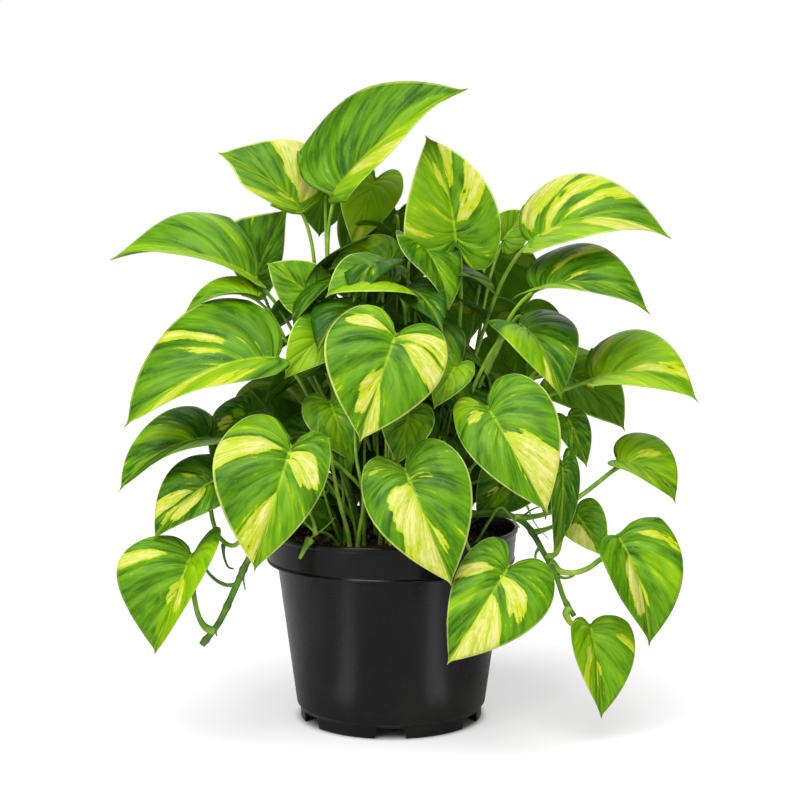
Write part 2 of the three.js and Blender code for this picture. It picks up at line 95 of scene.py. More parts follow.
# Stems, by the points that each one grows through
STEMS = {
    "left_stem": dict(radius=2.2, through=[(-16, -8, 97), (-20, -10, 122), (-27, -12, 150),
        (-36, -12, 176)]),
    "front_stem": dict(radius=2.2, through=[(-2, -22, 97), (-2, -28, 120), (0, -32, 146)]),
    "right_stem": dict(radius=2.2, through=[(16, -8, 97), (20, -9, 124), (28, -10, 152), (38, -10, 178)]),
    "back_left_stem": dict(radius=2.2, through=[(-14, 14, 97), (-18, 16, 130), (-26, 18, 170),
        (-32, 20, 205)]),
    "back_right_stem": dict(radius=2.2, through=[(16, 14, 97), (22, 17, 130), (30, 22, 168),
        (38, 26, 200)]),
    "back_stem": dict(radius=2.2, through=[(0, 30, 97), (0, 36, 124), (2, 44, 152), (4, 50, 178)]),
    "left_vine": dict(radius=2.5, taper=0.2, through=[(-24, -20, 97), (-34, -28, 124), (-52, -42, 134),
        (-72, -54, 125), (-84, -56, 109), (-92, -57, 92), (-102, -57, 71), (-112, -57, 58)]),
    "right_vine": dict(radius=2.5, taper=0.4, through=[(28, -16, 97), (36, -20, 120), (51, -25, 131),
        (68, -30, 132), (81, -36, 127), (92, -41, 110), (99, -45, 97), (104, -46, 83), (110, -47, 73)]),
}

FRONT, LEFTWARD, RIGHTWARD = (0, -1, 0.3), (-0.1, -0.5, 0.85), (0.1, -0.5, 0.85)
HEART = dict(arch=6, fold=(12, 12), curl=(-25, -25))
USUAL_LEAF = dict(
    arch=8, sway=0, fold=(28, 28), curl=(-30, -30), left=0.5, lobe=1, ovate=(0, 0), bow=(0, 0, 0),
    tone=0.5, stout=1, rim=1,
)


def new_leaf(on, at, base, tip, width, face=FRONT, **own):
    return dict(USUAL_LEAF, on=on, at=at, base=base, tip=tip, width=width, face=face, **own)


# Leaves: the stem and how far along it, the places of base and tip, the width, and the way
# the upper side faces. arch lifts the midrib, sway bows it sideways, fold raises the left and
# right halves in degrees, curl bends them further, left is the left half's share of the width,
# lobe stretches the lobes, ovate moves the widest part towards the tip, and bow leans the
# petiole. path lists the points that a petiole passes where it sags or winds, stout is how much
# thicker it is than usual, tone is how light the green is, from dark to yellow-green, and rim
# how much of the painted rim light along its margin the blade shows. Left and right are as seen
# from the upper side with the tip up. A leaf's place in this table seeds its chance draws.
LEAVES = {
    "crown": new_leaf("back_left_stem", 1, (-36, -5, 324), (46, -20, 387), 88, (-0.5, -0.6, 0.55), arch=4,
        sway=-7, fold=(24, 36), left=0.56, lobe=0.05, ovate=(0.08, 0.04), tone=0.35, rim=0.5),
    "top_left": new_leaf("back_left_stem", 0.85, (-54, 20, 314), (-108, 25, 351), 73, LEFTWARD, arch=5,
        fold=(20, 28), curl=(0, -30), left=0.43, lobe=0.2, ovate=(0.3, 0.1)),
    "left_high": new_leaf("back_left_stem", 0.68, (-84, 20, 272), (-179, 38, 284), 70, LEFTWARD, arch=14,
        fold=(31, 22), curl=(0, -30), left=0.4, lobe=0.15, ovate=(0, 0.34), rim=0.4),
    "left_upright": new_leaf("back_left_stem", 0.58, (-88, 50, 271), (-66, 46, 317), 44, (-0.3, -1, 0.2),
        arch=3, fold=(20, 20), left=0.66, ovate=(0.35, 0), bow=(8, 0, 0), tone=0.3),
    "left_under": new_leaf("left_stem", 0.95, (-81, -7, 262), (-127, -12, 250), 30, LEFTWARD, arch=9,
        fold=(30, 10), curl=(0, -20), left=0.28, lobe=0.3),
    "left_big": new_leaf("left_stem", 0.8, (-67, -45, 228), (-156, -60, 188), 86, LEFTWARD, arch=13,
        fold=(18, 26), curl=(-10, -30), left=0.36, lobe=0.35, ovate=(0.1, 0.04), tone=0.4, rim=0.6),
    "left_low": new_leaf("left_stem", 0.5, (-109, -35, 179), (-162, -45, 148), 54, LEFTWARD, arch=9,
        fold=(26, 26), curl=(0, -30), left=0.46, lobe=0.5, tone=0.25, rim=0.3),
    "left_dark": new_leaf("left_stem", 0.3, (-87, -5, 189), (-109, -15, 155), 38, (-0.1, -0.7, 0.7), arch=4,
        tone=0.2),
    "left_drop": new_leaf("left_vine", 0.54, (-103, -50, 156), (-139, -62, 122), 46, (-0.2, -0.7, 0.7),
        arch=6, fold=(26, 26), tone=0.25, stout=1.25, rim=0.4,
        path=[(-88, -55, 120), (-93, -54, 117), (-97, -54, 118), (-102, -53, 123), (-105, -53, 131)]),
    "heart_left": new_leaf("front_stem", 0.55, (-57, -80, 178), (-77, -98, 110), 66, **HEART, left=0.38,
        tone=0.4),
    "trail_left": new_leaf("left_vine", 0.93, (-117, -62, 112), (-138, -72, 56), 60, arch=6, fold=(60, 12),
        curl=(-20, -25), left=0.36, lobe=0.9, ovate=(-0.14, 0.16), tone=0.45, stout=1.3, rim=0.25),
    "heart_centre": new_leaf("front_stem", 1, (3, -84, 243), (-17, -98, 184), 70, **HEART, left=0.47,
        tone=0.45),
    "heart_front": new_leaf("front_stem", 0.8, (9, -88, 166), (35, -104, 103), 62, **HEART, left=0.53,
        tone=0.4),
    "heart_right": new_leaf("right_stem", 0.55, (57, -72, 200), (90, -92, 142), 58, **HEART, left=0.59,
        tone=0.45),
    "heart_low": new_leaf("right_vine", 0.2, (67, -92, 111), (32, -108, 59), 56, **HEART, left=0.57,
        ovate=(-0.05, 0), tone=0.4, rim=0.6,
        path=[(39, -34, 133), (41, -54, 137), (42, -72, 131), (45, -81, 121), (55, -86, 111)]),
    "top_right": new_leaf("back_right_stem", 0.95, (39, -20, 297), (21, -10, 360), 60, (0, -1, 0.2), arch=4,
        sway=3, left=0.53, ovate=(-0.1, -0.06)),
    "right_high": new_leaf("back_right_stem", 0.8, (85, -10, 296), (168, -25, 298), 76, RIGHTWARD, arch=16,
        fold=(28, 14), curl=(-30, -10), left=0.56, lobe=0.3, ovate=(0.04, 0.1)),
    "right_second": new_leaf("right_stem", 1, (86, -35, 268), (152, -55, 254), 62, RIGHTWARD, arch=12,
        fold=(28, 24), curl=(-30, -10), left=0.58, lobe=0.4, bow=(0, 9, 0), tone=0.35, rim=0.4),
    "right_curl": new_leaf("right_stem", 0.85, (78, -30, 246), (100, -60, 204), 50, (0.1, -0.7, 0.7),
        arch=10, fold=(18, 30), left=0.56, bow=(-8, -12, 0), tone=0.25, rim=0.5),
    "right_side": new_leaf("right_stem", 0.7, (121, -30, 213), (182, -50, 202), 60, RIGHTWARD, arch=13,
        fold=(30, 16), curl=(-30, -10), left=0.6, lobe=0.3, ovate=(0.02, 0.16), tone=0.6, rim=0.5),
    "right_back": new_leaf("back_right_stem", 0.5, (104, 10, 214), (146, 5, 178), 52, (0.1, -0.6, 0.8),
        arch=8, fold=(28, 14), lobe=0.3),
    "right_inner": new_leaf("back_right_stem", 0.3, (107, -25, 190), (118, -35, 161), 22, (0.1, -1, 0.3),
        arch=3, lobe=0.6, tone=0.3),
    "right_small": new_leaf("right_vine", 0.5, (137, -30, 165), (171, -40, 140), 42, (0.2, -0.6, 0.8),
        arch=8, fold=(28, 22), curl=(-30, -10), left=0.62, lobe=0.5, ovate=(0, 0.1), bow=(6, 0, -9),
        tone=0.4, stout=1.35, rim=0.2),
    "trail_right": new_leaf("right_vine", 0.74, (135, -50, 122), (153, -62, 58), 56, arch=6, sway=-4,
        fold=(12, 54), curl=(-25, -20), left=0.54, lobe=0.1, ovate=(0.06, 0.1), tone=0.45, stout=1.4,
        rim=0.2, path=[(97, -42, 104), (101, -44, 100), (109, -46, 99), (118, -47, 102), (124, -49, 107)]),
    "trail_end": new_leaf("right_vine", 0.96, (119, -52, 68), (125, -64, 15), 44, arch=4, sway=-1,
        fold=(12, 56), curl=(-25, -20), left=0.55, lobe=0.5, ovate=(0.05, 0.05), stout=1.35, rim=0.2,
        path=[(105, -48, 75), (108, -50, 69)]),
    "pale": new_leaf("right_vine", 0.6, (113, -22, 131), (130, -34, 106), 30, arch=3, lobe=0.6, tone=0.45,
        stout=1.2),
    "narrow": new_leaf("right_vine", 0.72, (102, -45, 164), (96, -60, 112), 22, (0.5, -1, 0.3), arch=4,
        tone=0.2, stout=1.2, path=[(99, -43, 110), (102, -43, 118), (103, -44, 132)]),
    "behind_crown": new_leaf("back_stem", 0.95, (-10, 30, 334), (-24, 15, 292), 40, arch=4, tone=0.6),
    "grey": new_leaf("back_right_stem", 0.65, (71, 36, 297), (87, 56, 315), 26, (0.1, -1, 0.3), arch=3,
        bow=(3, -6, 0), tone=0.7),
    "mid_left": new_leaf("left_stem", 0.65, (-46, -10, 261), (-76, -5, 283), 36, (0, -1, 0.4), arch=3,
        bow=(6, -4, 0)),
    "lit": new_leaf("front_stem", 0.9, (-38, -30, 243), (-63, -45, 215), 34, (0, -1, 0.4), arch=4),
    "small_mid": new_leaf("front_stem", 0.4, (11, -65, 197), (4, -75, 168), 32, arch=3, tone=0.4),
    "inner_left": new_leaf("left_stem", 0.75, (-36, -34, 200), (-24, -46, 166), 38, arch=4),
    "mid_right": new_leaf("right_stem", 0.4, (38, -55, 224), (25, -70, 200), 26, (0, -1, 0.4), arch=3,
        tone=0.6),
    "dark_top": new_leaf("back_stem", 0.8, (0, -10, 284), (-38, -10, 279), 40, (0, -0.6, 0.8), arch=4,
        bow=(4, -6, 0)),
    "edge_on": new_leaf("back_left_stem", 0.3, (0, -45, 272), (-38, -60, 264), 50, (0, -0.55, 0.9), arch=6,
        tone=0.6),
    "right_mid": new_leaf("back_right_stem", 0.4, (104, -10, 242), (81, -25, 233), 26, (0, -0.8, 0.6),
        arch=3, tone=0.3),
    "rim_right": new_leaf("right_stem", 0.4, (78, -4, 152), (52, -14, 126), 40, (0, -1, 0.4), arch=4,
        tone=0.3),
    "back_top": new_leaf("back_stem", 0.88, (3, 50, 313), (-10, 72, 246), 72, (0, 1, 0.35), arch=5,
        fold=(12, 12)),
    "back_left_high": new_leaf("back_left_stem", 0.75, (-43, 47, 333), (-47, 60, 298), 42, (0, 1, 0.35),
        arch=4, fold=(12, 12)),
    "back_right_high": new_leaf("back_right_stem", 0.9, (64, 52, 286), (74, 76, 234), 62, (0.3, 1, 0.35),
        arch=5, fold=(12, 12)),
    "back_heart_left": new_leaf("back_left_stem", 0.4, (-44, 72, 206), (-46, 94, 136), 64, (-0.3, 1, 0.3),
        arch=6, fold=(12, 12)),
    "back_heart": new_leaf("back_stem", 0.8, (24, 84, 266), (20, 108, 196), 82, (0, 1, 0.3), arch=5,
        fold=(12, 12)),
    "back_heart_right": new_leaf("back_right_stem", 0.35, (56, 72, 222), (68, 94, 156), 66, (0.3, 1, 0.3),
        arch=6, fold=(12, 12)),
    "back_left": new_leaf("left_stem", 0.65, (-73, 49, 203), (-85, 76, 150), 54, (-0.5, 1, 0.4), arch=6,
        fold=(14, 14)),
    "back_right": new_leaf("right_stem", 0.65, (83, 30, 251), (88, 56, 198), 54, (0.3, 1, 0.4), arch=5,
        fold=(14, 14)),
    "back_low_left": new_leaf("back_left_stem", 0.2, (2, 92, 188), (0, 110, 124), 60, (0, 1, 0.4), arch=6,
        fold=(14, 14)),
    "back_low_right": new_leaf("back_stem", 0.4, (34, 92, 152), (42, 110, 92), 56, (0.2, 1, 0.4), arch=6,
        fold=(14, 14)),
    "side_low_left": new_leaf("left_stem", 0.23, (-70, 45, 152), (-95, 85, 110), 50, (-0.6, 0.4, 0.7),
        arch=8),
    "side_low_right": new_leaf("right_stem", 0.3, (78, 48, 152), (104, 86, 108), 50, (0.6, 0.4, 0.7),
        arch=8),
}

# Variegation. A mark is a finish, a side, where along the margin its veins end (0 at the
# notch, 1 at the tip), how far from midrib to margin it reaches, and its strength. A leaf that
# isn't listed has marks by chance.
CREAM, LIME, DEEP = "cream", "lime", "deep"
L, R = -1, 1
MARKS = {
    "crown": [(CREAM, R, 0.56, 0.66, 0.25, 1, 0.8), (CREAM, R, 0.69, 0.73, 0.35, 0.9, 0.6),
        (LIME, R, 0.46, 0.9, 0, 1, 0.9), (LIME, L, 0.8, 0.95, 0, 0.9, 0.7)],
    "top_left": [(CREAM, L, 0.5, 0.58, 0.4, 1, 0.7), (CREAM, L, 0.61, 0.68, 0, 0.5, 0.8),
        (CREAM, R, 0.46, 0.69, 0.03, 1, 1), (LIME, L, 0.3, 0.6, 0, 1, 0.6)],
    "left_high": [(LIME, L, 0.1, 0.9, 0, 1, 0.9), (DEEP, R, 0.2, 0.48, 0, 0.9, 0.6),
        (LIME, R, 0.49, 0.56, 0.2, 1, 0.6), (LIME, R, 0.82, 0.9, 0, 1, 0.6)],
    "left_upright": [(LIME, L, 0.1, 0.4, 0, 1, 0.4)],
    "left_under": [(CREAM, R, 0.48, 0.55, 0.2, 1, 0.5), (LIME, R, 0.3, 0.7, 0, 1, 0.6)],
    "left_big": [(CREAM, R, 0.63, 0.67, 0.25, 1, 0.95), (CREAM, R, 0.69, 0.72, 0.15, 0.9, 0.7),
        (CREAM, L, 0.7, 0.79, 0, 0.95, 1), (CREAM, L, 0.51, 0.6, 0.55, 1, 0.65),
        (LIME, L, 0.5, 0.9, 0, 1, 0.7), (DEEP, R, 0.45, 0.62, 0, 0.9, 0.6)],
    "left_low": [(LIME, L, 0.4, 0.6, 0, 1, 0.5), (DEEP, R, 0.4, 0.6, 0, 1, 0.6),
        (LIME, R, 0.62, 0.7, 0, 1, 0.9), (LIME, R, 0.82, 0.9, 0, 0.8, 0.6)],
    "left_drop": [(CREAM, L, 0.62, 0.84, 0, 0.9, 0.85), (CREAM, R, 0.69, 0.78, 0.05, 0.95, 0.9),
        (CREAM, R, 0.8, 0.92, 0, 0.8, 0.7), (CREAM, R, 0.56, 0.6, 0.1, 0.9, 0.6),
        (DEEP, R, 0.3, 0.52, 0, 1, 0.5)],
    "heart_left": [(CREAM, L, 0.45, 0.62, 0, 0.91, 1), (CREAM, R, 0.43, 0.55, 0.05, 1, 1),
        (CREAM, R, 0.76, 0.9, 0, 1, 0.9), (CREAM, L, 0.86, 0.89, 0, 0.5, 0.55),
        (LIME, R, 0.2, 0.42, 0, 1, 0.5), (LIME, L, 0.65, 0.9, 0, 1, 0.4), (DEEP, R, 0.56, 0.66, 0, 1, 0.5)],
    "trail_left": [(CREAM, R, 0.43, 0.52, 0.3, 1, 0.9), (CREAM, L, 0.65, 0.75, 0.05, 0.85, 0.9),
        (CREAM, R, 0.72, 0.82, 0, 0.35, 0.85), (LIME, L, 0.4, 0.9, 0, 1, 0.6),
        (LIME, R, 0.8, 0.92, 0, 0.8, 0.6)],
    "heart_centre": [(CREAM, L, 0.35, 0.47, 0, 1, 1), (CREAM, L, 0.485, 0.59, 0.08, 0.97, 1),
        (CREAM, R, 0.34, 0.46, 0.03, 0.93, 1), (CREAM, R, 0.73, 0.86, 0, 0.88, 0.95),
        (CREAM, L, 0.8, 0.98, 0, 0.95, 1), (CREAM, R, 0.9, 0.97, 0, 0.6, 0.8),
        (LIME, R, 0.1, 0.3, 0, 1, 0.5)],
    "heart_front": [(CREAM, R, 0.55, 0.98, 0, 0.93, 1), (CREAM, R, 0.68, 0.98, 0, 1, 0.8),
        (CREAM, L, 0.78, 0.83, 0.15, 0.9, 0.65), (CREAM, L, 0.52, 0.57, 0, 0.6, 0.5),
        (CREAM, R, 0.33, 0.38, 0.3, 0.9, 0.55), (DEEP, L, 0.1, 0.5, 0, 0.8, 0.5)],
    "heart_right": [(CREAM, L, 0.67, 0.98, 0, 1, 1), (CREAM, R, 0.4, 0.51, 0.1, 0.65, 0.85),
        (CREAM, R, 0.79, 0.86, 0.1, 0.6, 0.55), (CREAM, R, 0.24, 0.29, 0.5, 0.95, 0.5),
        (LIME, R, 0.15, 0.4, 0.2, 1, 0.7)],
    "heart_low": [(CREAM, L, 0.55, 0.65, 0, 0.92, 1), (CREAM, L, 0.69, 0.98, 0, 0.96, 1),
        (CREAM, R, 0.5, 0.58, 0.25, 1, 0.9), (LIME, R, 0.64, 0.69, 0.3, 1, 0.6),
        (CREAM, R, 0.88, 0.95, 0, 0.6, 0.6)],
    "top_right": [(CREAM, R, 0.6, 0.7, 0.03, 0.97, 1), (CREAM, R, 0.75, 0.83, 0.15, 0.95, 0.8),
        (CREAM, L, 0.78, 0.87, 0, 0.75, 0.65), (CREAM, L, 0.5, 0.54, 0.3, 1, 0.6),
        (LIME, L, 0.4, 0.8, 0, 1, 0.4)],
    "right_high": [(CREAM, L, 0.41, 0.56, 0.08, 1, 0.95), (CREAM, L, 0.59, 0.65, 0, 1, 0.85),
        (CREAM, L, 0.68, 0.73, 0.1, 1, 0.8), (CREAM, R, 0.55, 0.66, 0, 0.5, 0.8),
        (CREAM, R, 0.68, 0.86, 0.2, 1, 1), (DEEP, L, 0.565, 0.585, 0, 1, 0.7),
        (DEEP, L, 0.75, 0.8, 0, 1, 0.6), (LIME, R, 0.3, 0.9, 0, 1, 0.6)],
    "right_second": [(CREAM, L, 0.57, 0.62, 0.08, 0.97, 0.8), (CREAM, L, 0.7, 0.735, 0, 0.5, 0.75),
        (CREAM, R, 0.62, 0.66, 0.2, 1, 0.5), (LIME, R, 0.42, 0.6, 0, 1, 0.8),
        (DEEP, L, 0.15, 0.5, 0, 1, 0.4)],
    "right_curl": [(CREAM, R, 0.76, 0.82, 0.35, 0.97, 0.8), (LIME, R, 0.5, 0.9, 0, 1, 0.8),
        (DEEP, L, 0.1, 0.5, 0, 1, 0.5)],
    "right_side": [(CREAM, L, 0.43, 0.52, 0.12, 0.93, 0.8), (CREAM, L, 0.75, 0.81, 0, 0.97, 0.85),
        (CREAM, L, 0.56, 0.6, 0.1, 0.8, 0.5), (CREAM, R, 0.34, 0.42, 0.5, 1, 0.6),
        (CREAM, R, 0.6, 0.65, 0.3, 1, 0.55), (LIME, L, 0.3, 0.8, 0, 1, 0.3),
        (LIME, R, 0.2, 0.9, 0, 1, 0.8)],
    "right_back": [(LIME, L, 0.4, 0.55, 0, 1, 0.6)],
    "right_inner": [],
    "right_small": [(CREAM, L, 0.61, 0.68, 0.15, 0.87, 0.8), (LIME, L, 0.3, 0.8, 0, 1, 0.6),
        (LIME, R, 0.3, 0.9, 0, 1, 0.6)],
    "trail_right": [(CREAM, R, 0.64, 0.84, 0, 0.9, 1), (CREAM, R, 0.86, 0.97, 0, 0.8, 0.9),
        (CREAM, L, 0.48, 0.53, 0.25, 0.97, 0.75), (CREAM, L, 0.8, 0.87, 0, 0.5, 0.65),
        (LIME, L, 0.6, 0.7, 0.2, 1, 0.5)],
    "trail_end": [(CREAM, R, 0.62, 0.68, 0.1, 1, 0.8), (CREAM, R, 0.77, 0.84, 0, 0.7, 0.85),
        (CREAM, L, 0.77, 0.83, 0, 0.4, 0.75), (CREAM, L, 0.5, 0.56, 0.5, 1, 0.65),
        (CREAM, L, 0.82, 0.88, 0.3, 0.8, 0.5), (LIME, L, 0.2, 0.8, 0, 1, 0.2),
        (LIME, R, 0.2, 0.8, 0, 1, 0.3)],
    "pale": [(CREAM, R, 0.55, 0.8, 0.25, 1, 1)],
    "narrow": [],
    # The lime over the whole blade is painted light: it brightens this leaf where it sits in the crown's
    # shade
    "behind_crown": [(LIME, L, 0.3, 0.95, 0, 1, 1), (LIME, R, 0.3, 0.95, 0, 1, 0.9),
        (CREAM, L, 0.8, 0.9, 0.2, 1, 0.6)],
    "grey": [],
    "mid_left": [(LIME, L, 0.4, 0.5, 0.5, 1, 0.8)],
    "lit": [(LIME, L, 0.6, 0.95, 0, 1, 0.7), (LIME, R, 0.6, 0.95, 0, 1, 0.7)],
    "small_mid": [(LIME, L, 0.5, 0.9, 0, 0.7, 0.5)],
    "inner_left": [(LIME, R, 0.5, 0.9, 0, 0.7, 0.4)],
    "mid_right": [(LIME, L, 0.4, 0.8, 0, 0.9, 0.6)],
    "dark_top": [(LIME, R, 0.5, 0.75, 0.5, 1, 0.8)],
    "edge_on": [(LIME, L, 0.3, 0.95, 0, 1, 0.9), (DEEP, R, 0.2, 0.72, 0.1, 1, 0.8)],
    "inner": [(LIME, L, 0.7, 0.85, 0, 1, 0.4), (DEEP, R, 0.2, 0.8, 0, 1, 0.4)],
}
MARK_EDGE = 0.03  # share of the margin over which a mark fades
FLAME_POINT = 0.4  # share of a mark's length over which it opens or closes
# Small shoots, roots and stubs on the vines and in the pot: skin, radius and points
SHOOTS = {
    "left_vine_loop": ("stem", 1.5, [(-89, -57, 99), (-91, -57, 95), (-96, -58, 94), (-101, -59, 96),
        (-106, -59, 100), (-111, -60, 107)]),
    "left_rootlet": ("stem", 1.0, [(-99, -54, 118), (-99, -54, 113), (-98, -54, 108), (-96, -54, 104),
        (-93, -54, 103)]),
    "left_stub": ("stem", 0.8, [(-86, -56, 105), (-87, -57, 97), (-86, -57, 91)]),
    "left_end_stub": ("stem", 0.7, [(-105, -57, 69), (-104, -57, 66), (-103, -57, 63)]),
    "right_strand": ("stem", 1.1, [(98, -43, 100), (102, -44, 96), (107, -45, 96), (113, -46, 100)]),
    "right_tendril": ("petiole", 0.5, [(82, -38, 138), (86, -43, 129), (90, -45, 124), (94, -48, 120)]),
    "right_twig": ("stem", 0.6, [(79, -35, 131), (85, -38, 136), (88, -42, 138), (91, -46, 139)]),
    "right_node_stub": ("stem", 0.9, [(90, -40, 114), (87, -42, 110), (87, -45, 106), (88, -48, 103)]),
    "right_sprout": ("petiole", 1.0, [(52, -24, 112), (60, -30, 128), (66, -36, 137), (72, -40, 132),
        (77, -44, 126)]),
    "rim_sprout": ("petiole", 1.1, [(-30, -38, 110), (-35, -48, 121), (-42, -59, 126), (-48, -66, 122.5)]),
    "rim_sprout_prong": ("petiole", 1.2, [(-44, -61, 125), (-45, -62, 132), (-48, -62, 140)]),
    "rim_sprout_side": ("petiole", 0.7, [(-44, -61, 126), (-48, -62, 130), (-53, -62, 135)]),
    "rim_sprout_twig": ("petiole", 0.5, [(-42, -59, 126), (-37, -58, 130), (-33, -55, 134)]),
    "rim_bud": ("petiole", 1.9, [(-47, -65.5, 123), (-49.5, -67.5, 119), (-51, -67.5, 116),
        (-53, -66.5, 112)]),
    "front_petiole_left": ("petiole", 1.5, [(-24, -50, 111), (-25, -50, 122), (-30, -52, 142),
        (-33, -55, 158), (-36, -60, 182)]),
    "front_petiole_right": ("petiole", 1.4, [(-20, -50, 111), (-19, -50, 121), (-16, -53, 144),
        (-20, -58, 170), (-21, -62, 190)]),
    "inner_shoot_left": ("petiole", 0.9, [(-30, -30, 112), (-38, -40, 140), (-44, -46, 170),
        (-42, -50, 192)]),
    "inner_shoot_right": ("petiole", 0.9, [(30, -26, 112), (34, -40, 138), (44, -52, 160), (58, -58, 172)]),
}
# Leaves half hidden in the heart of the plant: how many, the ranges they fill, and how far up
# the front stays open, so that the pot and the stems are seen
INNER = dict(
    count=54, low=118, high=300, near=14, far=60, taper=0.4, length=(34, 52), width=(30, 46),
    behind=1.25, open_front=170, lowest_tip=134, rise=(-1.1, -0.2), front_rise=(0.5, 1.0),
    outward=0.55, sideways=(-0.5, 0.5), at=(0.4, 0.95), upward=(0.3, 0.9), arch=(3, 7),
    # tone runs darker than any leaf of the table: painted shade, dark leaves for the shade in the heart of
    # the plant
    fold=(22, 22), tone=(-0.5, 0.25),
)
GOLDEN_ANGLE = 137.5
INNER_PIECES = 3
INNER_PETIOLE = 0.95
FIRST_INNER = 100  # number of the first inner leaf, past those of the table
# Petioles that fan up out of the soil at the front: how many, ways in degrees, and lengths
FAN_PETIOLES = dict(
    count=18, turn=(-62, 62), rise=(46, 100), root=(14, 44), lean=(4, 26), sway=(-7, 7),
    radius=(0.9, 1.4),
)

# ---------------------------------------------------------------- camera, lamps and floor

LENS, SENSOR = 76.8, 36
CAMERA_PLACE = (0.0056, -1.051, 0.305)
CAMERA_DOWN = 5.8  # degrees
FLOOR_REACH = 6
BACKDROP = 1.0  # the white behind the plant, for the camera only
WORLD_LIGHT = 0.24
FLOOR_GLOW = 0.55
# Where the floor's painted glow rises, in metres from the pot's axis, and the share that rises
# there. Short of the first rise the glow is nil: a painted shadow under and round the pot's foot.
GLOW_RISES = [(0.054, 0.062, 0.85), (0.07, 0.3, 0.15)]
LAMP_AIM = (0, 0, 0.2)
# Place, strength and breadth in degrees
SUNS = {"key": ((-0.35, -0.85, 1.8), 3.2, 56), "back": ((0.4, 1.3, 1.2), 0.9, 60)}
# Place, width and height, and watts
SOFTBOXES = {
    "left_box": ((-0.9, -1.3, 0.6), (0.3, 1.2), 5),
    "right_box": ((0.7, -1.4, 0.6), (0.25, 1.2), 3),
}
# Strips that lie on the floor out of the camera's sight, for the pot to mirror: the way
# from the pot in degrees, the middle's distance, width and length, and watts
STRIPS = {
    "left_strip": (-39, 0.2, (0.03, 0.22), 0.022),
    "right_strip": (40, 0.2, (0.034, 0.22), 0.03),
}
STRIP_LEVEL = 0.001

# ---------------------------------------------------------------- node trees


class Wire:
    """One socket of a node tree. Arithmetic on it adds the nodes that do the sum."""

    def __init__(self, tree, socket=None):
        self.tree, self.socket = tree, socket

    def node(self, kind, settings=None, inputs=None, output=0):
        """Adds any node: its type, its settings, then the values or links of its sockets."""
        node = self.tree.nodes.new(kind)
        for name, value in (settings or {}).items():
            if name == "stops":
                set_stops(node.color_ramp, value)
            else:
                setattr(node, name, value)
        for key, value in (inputs or {}).items():
            if isinstance(value, Wire):
                self.tree.links.new(value.socket, node.inputs[key])
            else:
                node.inputs[key].default_value = value
        return Wire(self.tree, node.outputs[output]) if node.outputs else node

    def sum(self, operation, *values):
        return self.node("ShaderNodeMath", {"operation": operation}, dict(enumerate(values)))

    def __add__(self, other):
        return self.sum("ADD", self, other)

    def __sub__(self, other):
        return self.sum("SUBTRACT", self, other)

    def __mul__(self, other):
        return self.sum("MULTIPLY", self, other)

    def __truediv__(self, other):
        return self.sum("DIVIDE", self, other)

    def __pow__(self, other):
        return self.sum("POWER", self, other)

    def __radd__(self, other):
        return self.sum("ADD", other, self)

    def __rsub__(self, other):
        return self.sum("SUBTRACT", other, self)

    def __rmul__(self, other):
        return self.sum("MULTIPLY", other, self)

    def sin(self):
        return self.sum("SINE", self)

    def fraction(self):
        return self.sum("FRACT", self)

    def abs(self):
        return self.sum("ABSOLUTE", self)

    def hump(self, width):
        """1 where this is 0, falling off within about width to either side."""
        scaled = self / width
        return self.sum("EXPONENT", -1 * scaled * scaled)

    def step(self, low, high):
        """0 below low and 1 above high, with a smooth rise between them."""
        return self.node(
            "ShaderNodeMapRange", {"interpolation_type": "SMOOTHSTEP"},
            {"Value": self, "From Min": low, "From Max": high},
        )

    def blend(self, below, above):
        """The colour below where this is 0, and the colour above where it is 1."""
        return self.node(
            "ShaderNodeMix", {"data_type": "RGBA"}, {0: self, 6: below, 7: above}, output=2
        )

    def scaled(self, factor):
        """This vector times a number or another vector."""
        operation, key = ("MULTIPLY", 1) if isinstance(factor, tuple) else ("SCALE", "Scale")
        return self.node("ShaderNodeVectorMath", {"operation": operation}, {0: self, key: factor})

    def axis(self, name):
        """One number of this vector: X, Y or Z."""
        return self.node("ShaderNodeSeparateXYZ", None, {0: self}, output=name)

    def vector(self, x=0.0, y=0.0, z=0.0):
        """A new vector of three numbers."""
        return self.node("ShaderNodeCombineXYZ", None, {0: x, 1: y, 2: z})

    def moved(self, other):
        return self.node("ShaderNodeVectorMath", {"operation": "ADD"}, {0: self, 1: other})


def set_stops(ramp, stops):
    while len(ramp.elements) < len(stops):
        ramp.elements.new(1)
    for element, (place, colour) in zip(ramp.elements, stops):
        element.position, element.color = place, colour


def colour(red, green, blue):
    """A colour given in screen values from 0 to 255, as Blender's linear one."""
    def linear(value):
        share = value / 255
        return share / 12.92 if share <= 0.04045 else ((share + 0.055) / 1.055) ** 2.4
    return (linear(red), linear(green), linear(blue), 1)


def new_material(name):
    material = bpy.data.materials.new(name)
    material.use_nodes = True
    material.node_tree.nodes.clear()
    return material, Wire(material.node_tree)


def finish_material(start, **sockets):
    inputs = {name.replace("_", " "): value for name, value in sockets.items()}
    shader = start.node("ShaderNodeBsdfPrincipled", None, inputs)
    start.node("ShaderNodeOutputMaterial", None, {"Surface": shader})


def object_place(start):
    return start.node("ShaderNodeTexCoord", output="Object")


def noise(place, scale, detail=3, roughness=0.5, distortion=0.0):
    return place.node("ShaderNodeTexNoise", None, {
        "Vector": place, "Scale": scale, "Detail": detail, "Roughness": roughness,
        "Distortion": distortion,
    })


def bump(height, distance, strength=1.0):
    return height.node("ShaderNodeBump", None, {
        "Height": height, "Distance": distance, "Strength": strength,
    })


# ---------------------------------------------------------------- materials

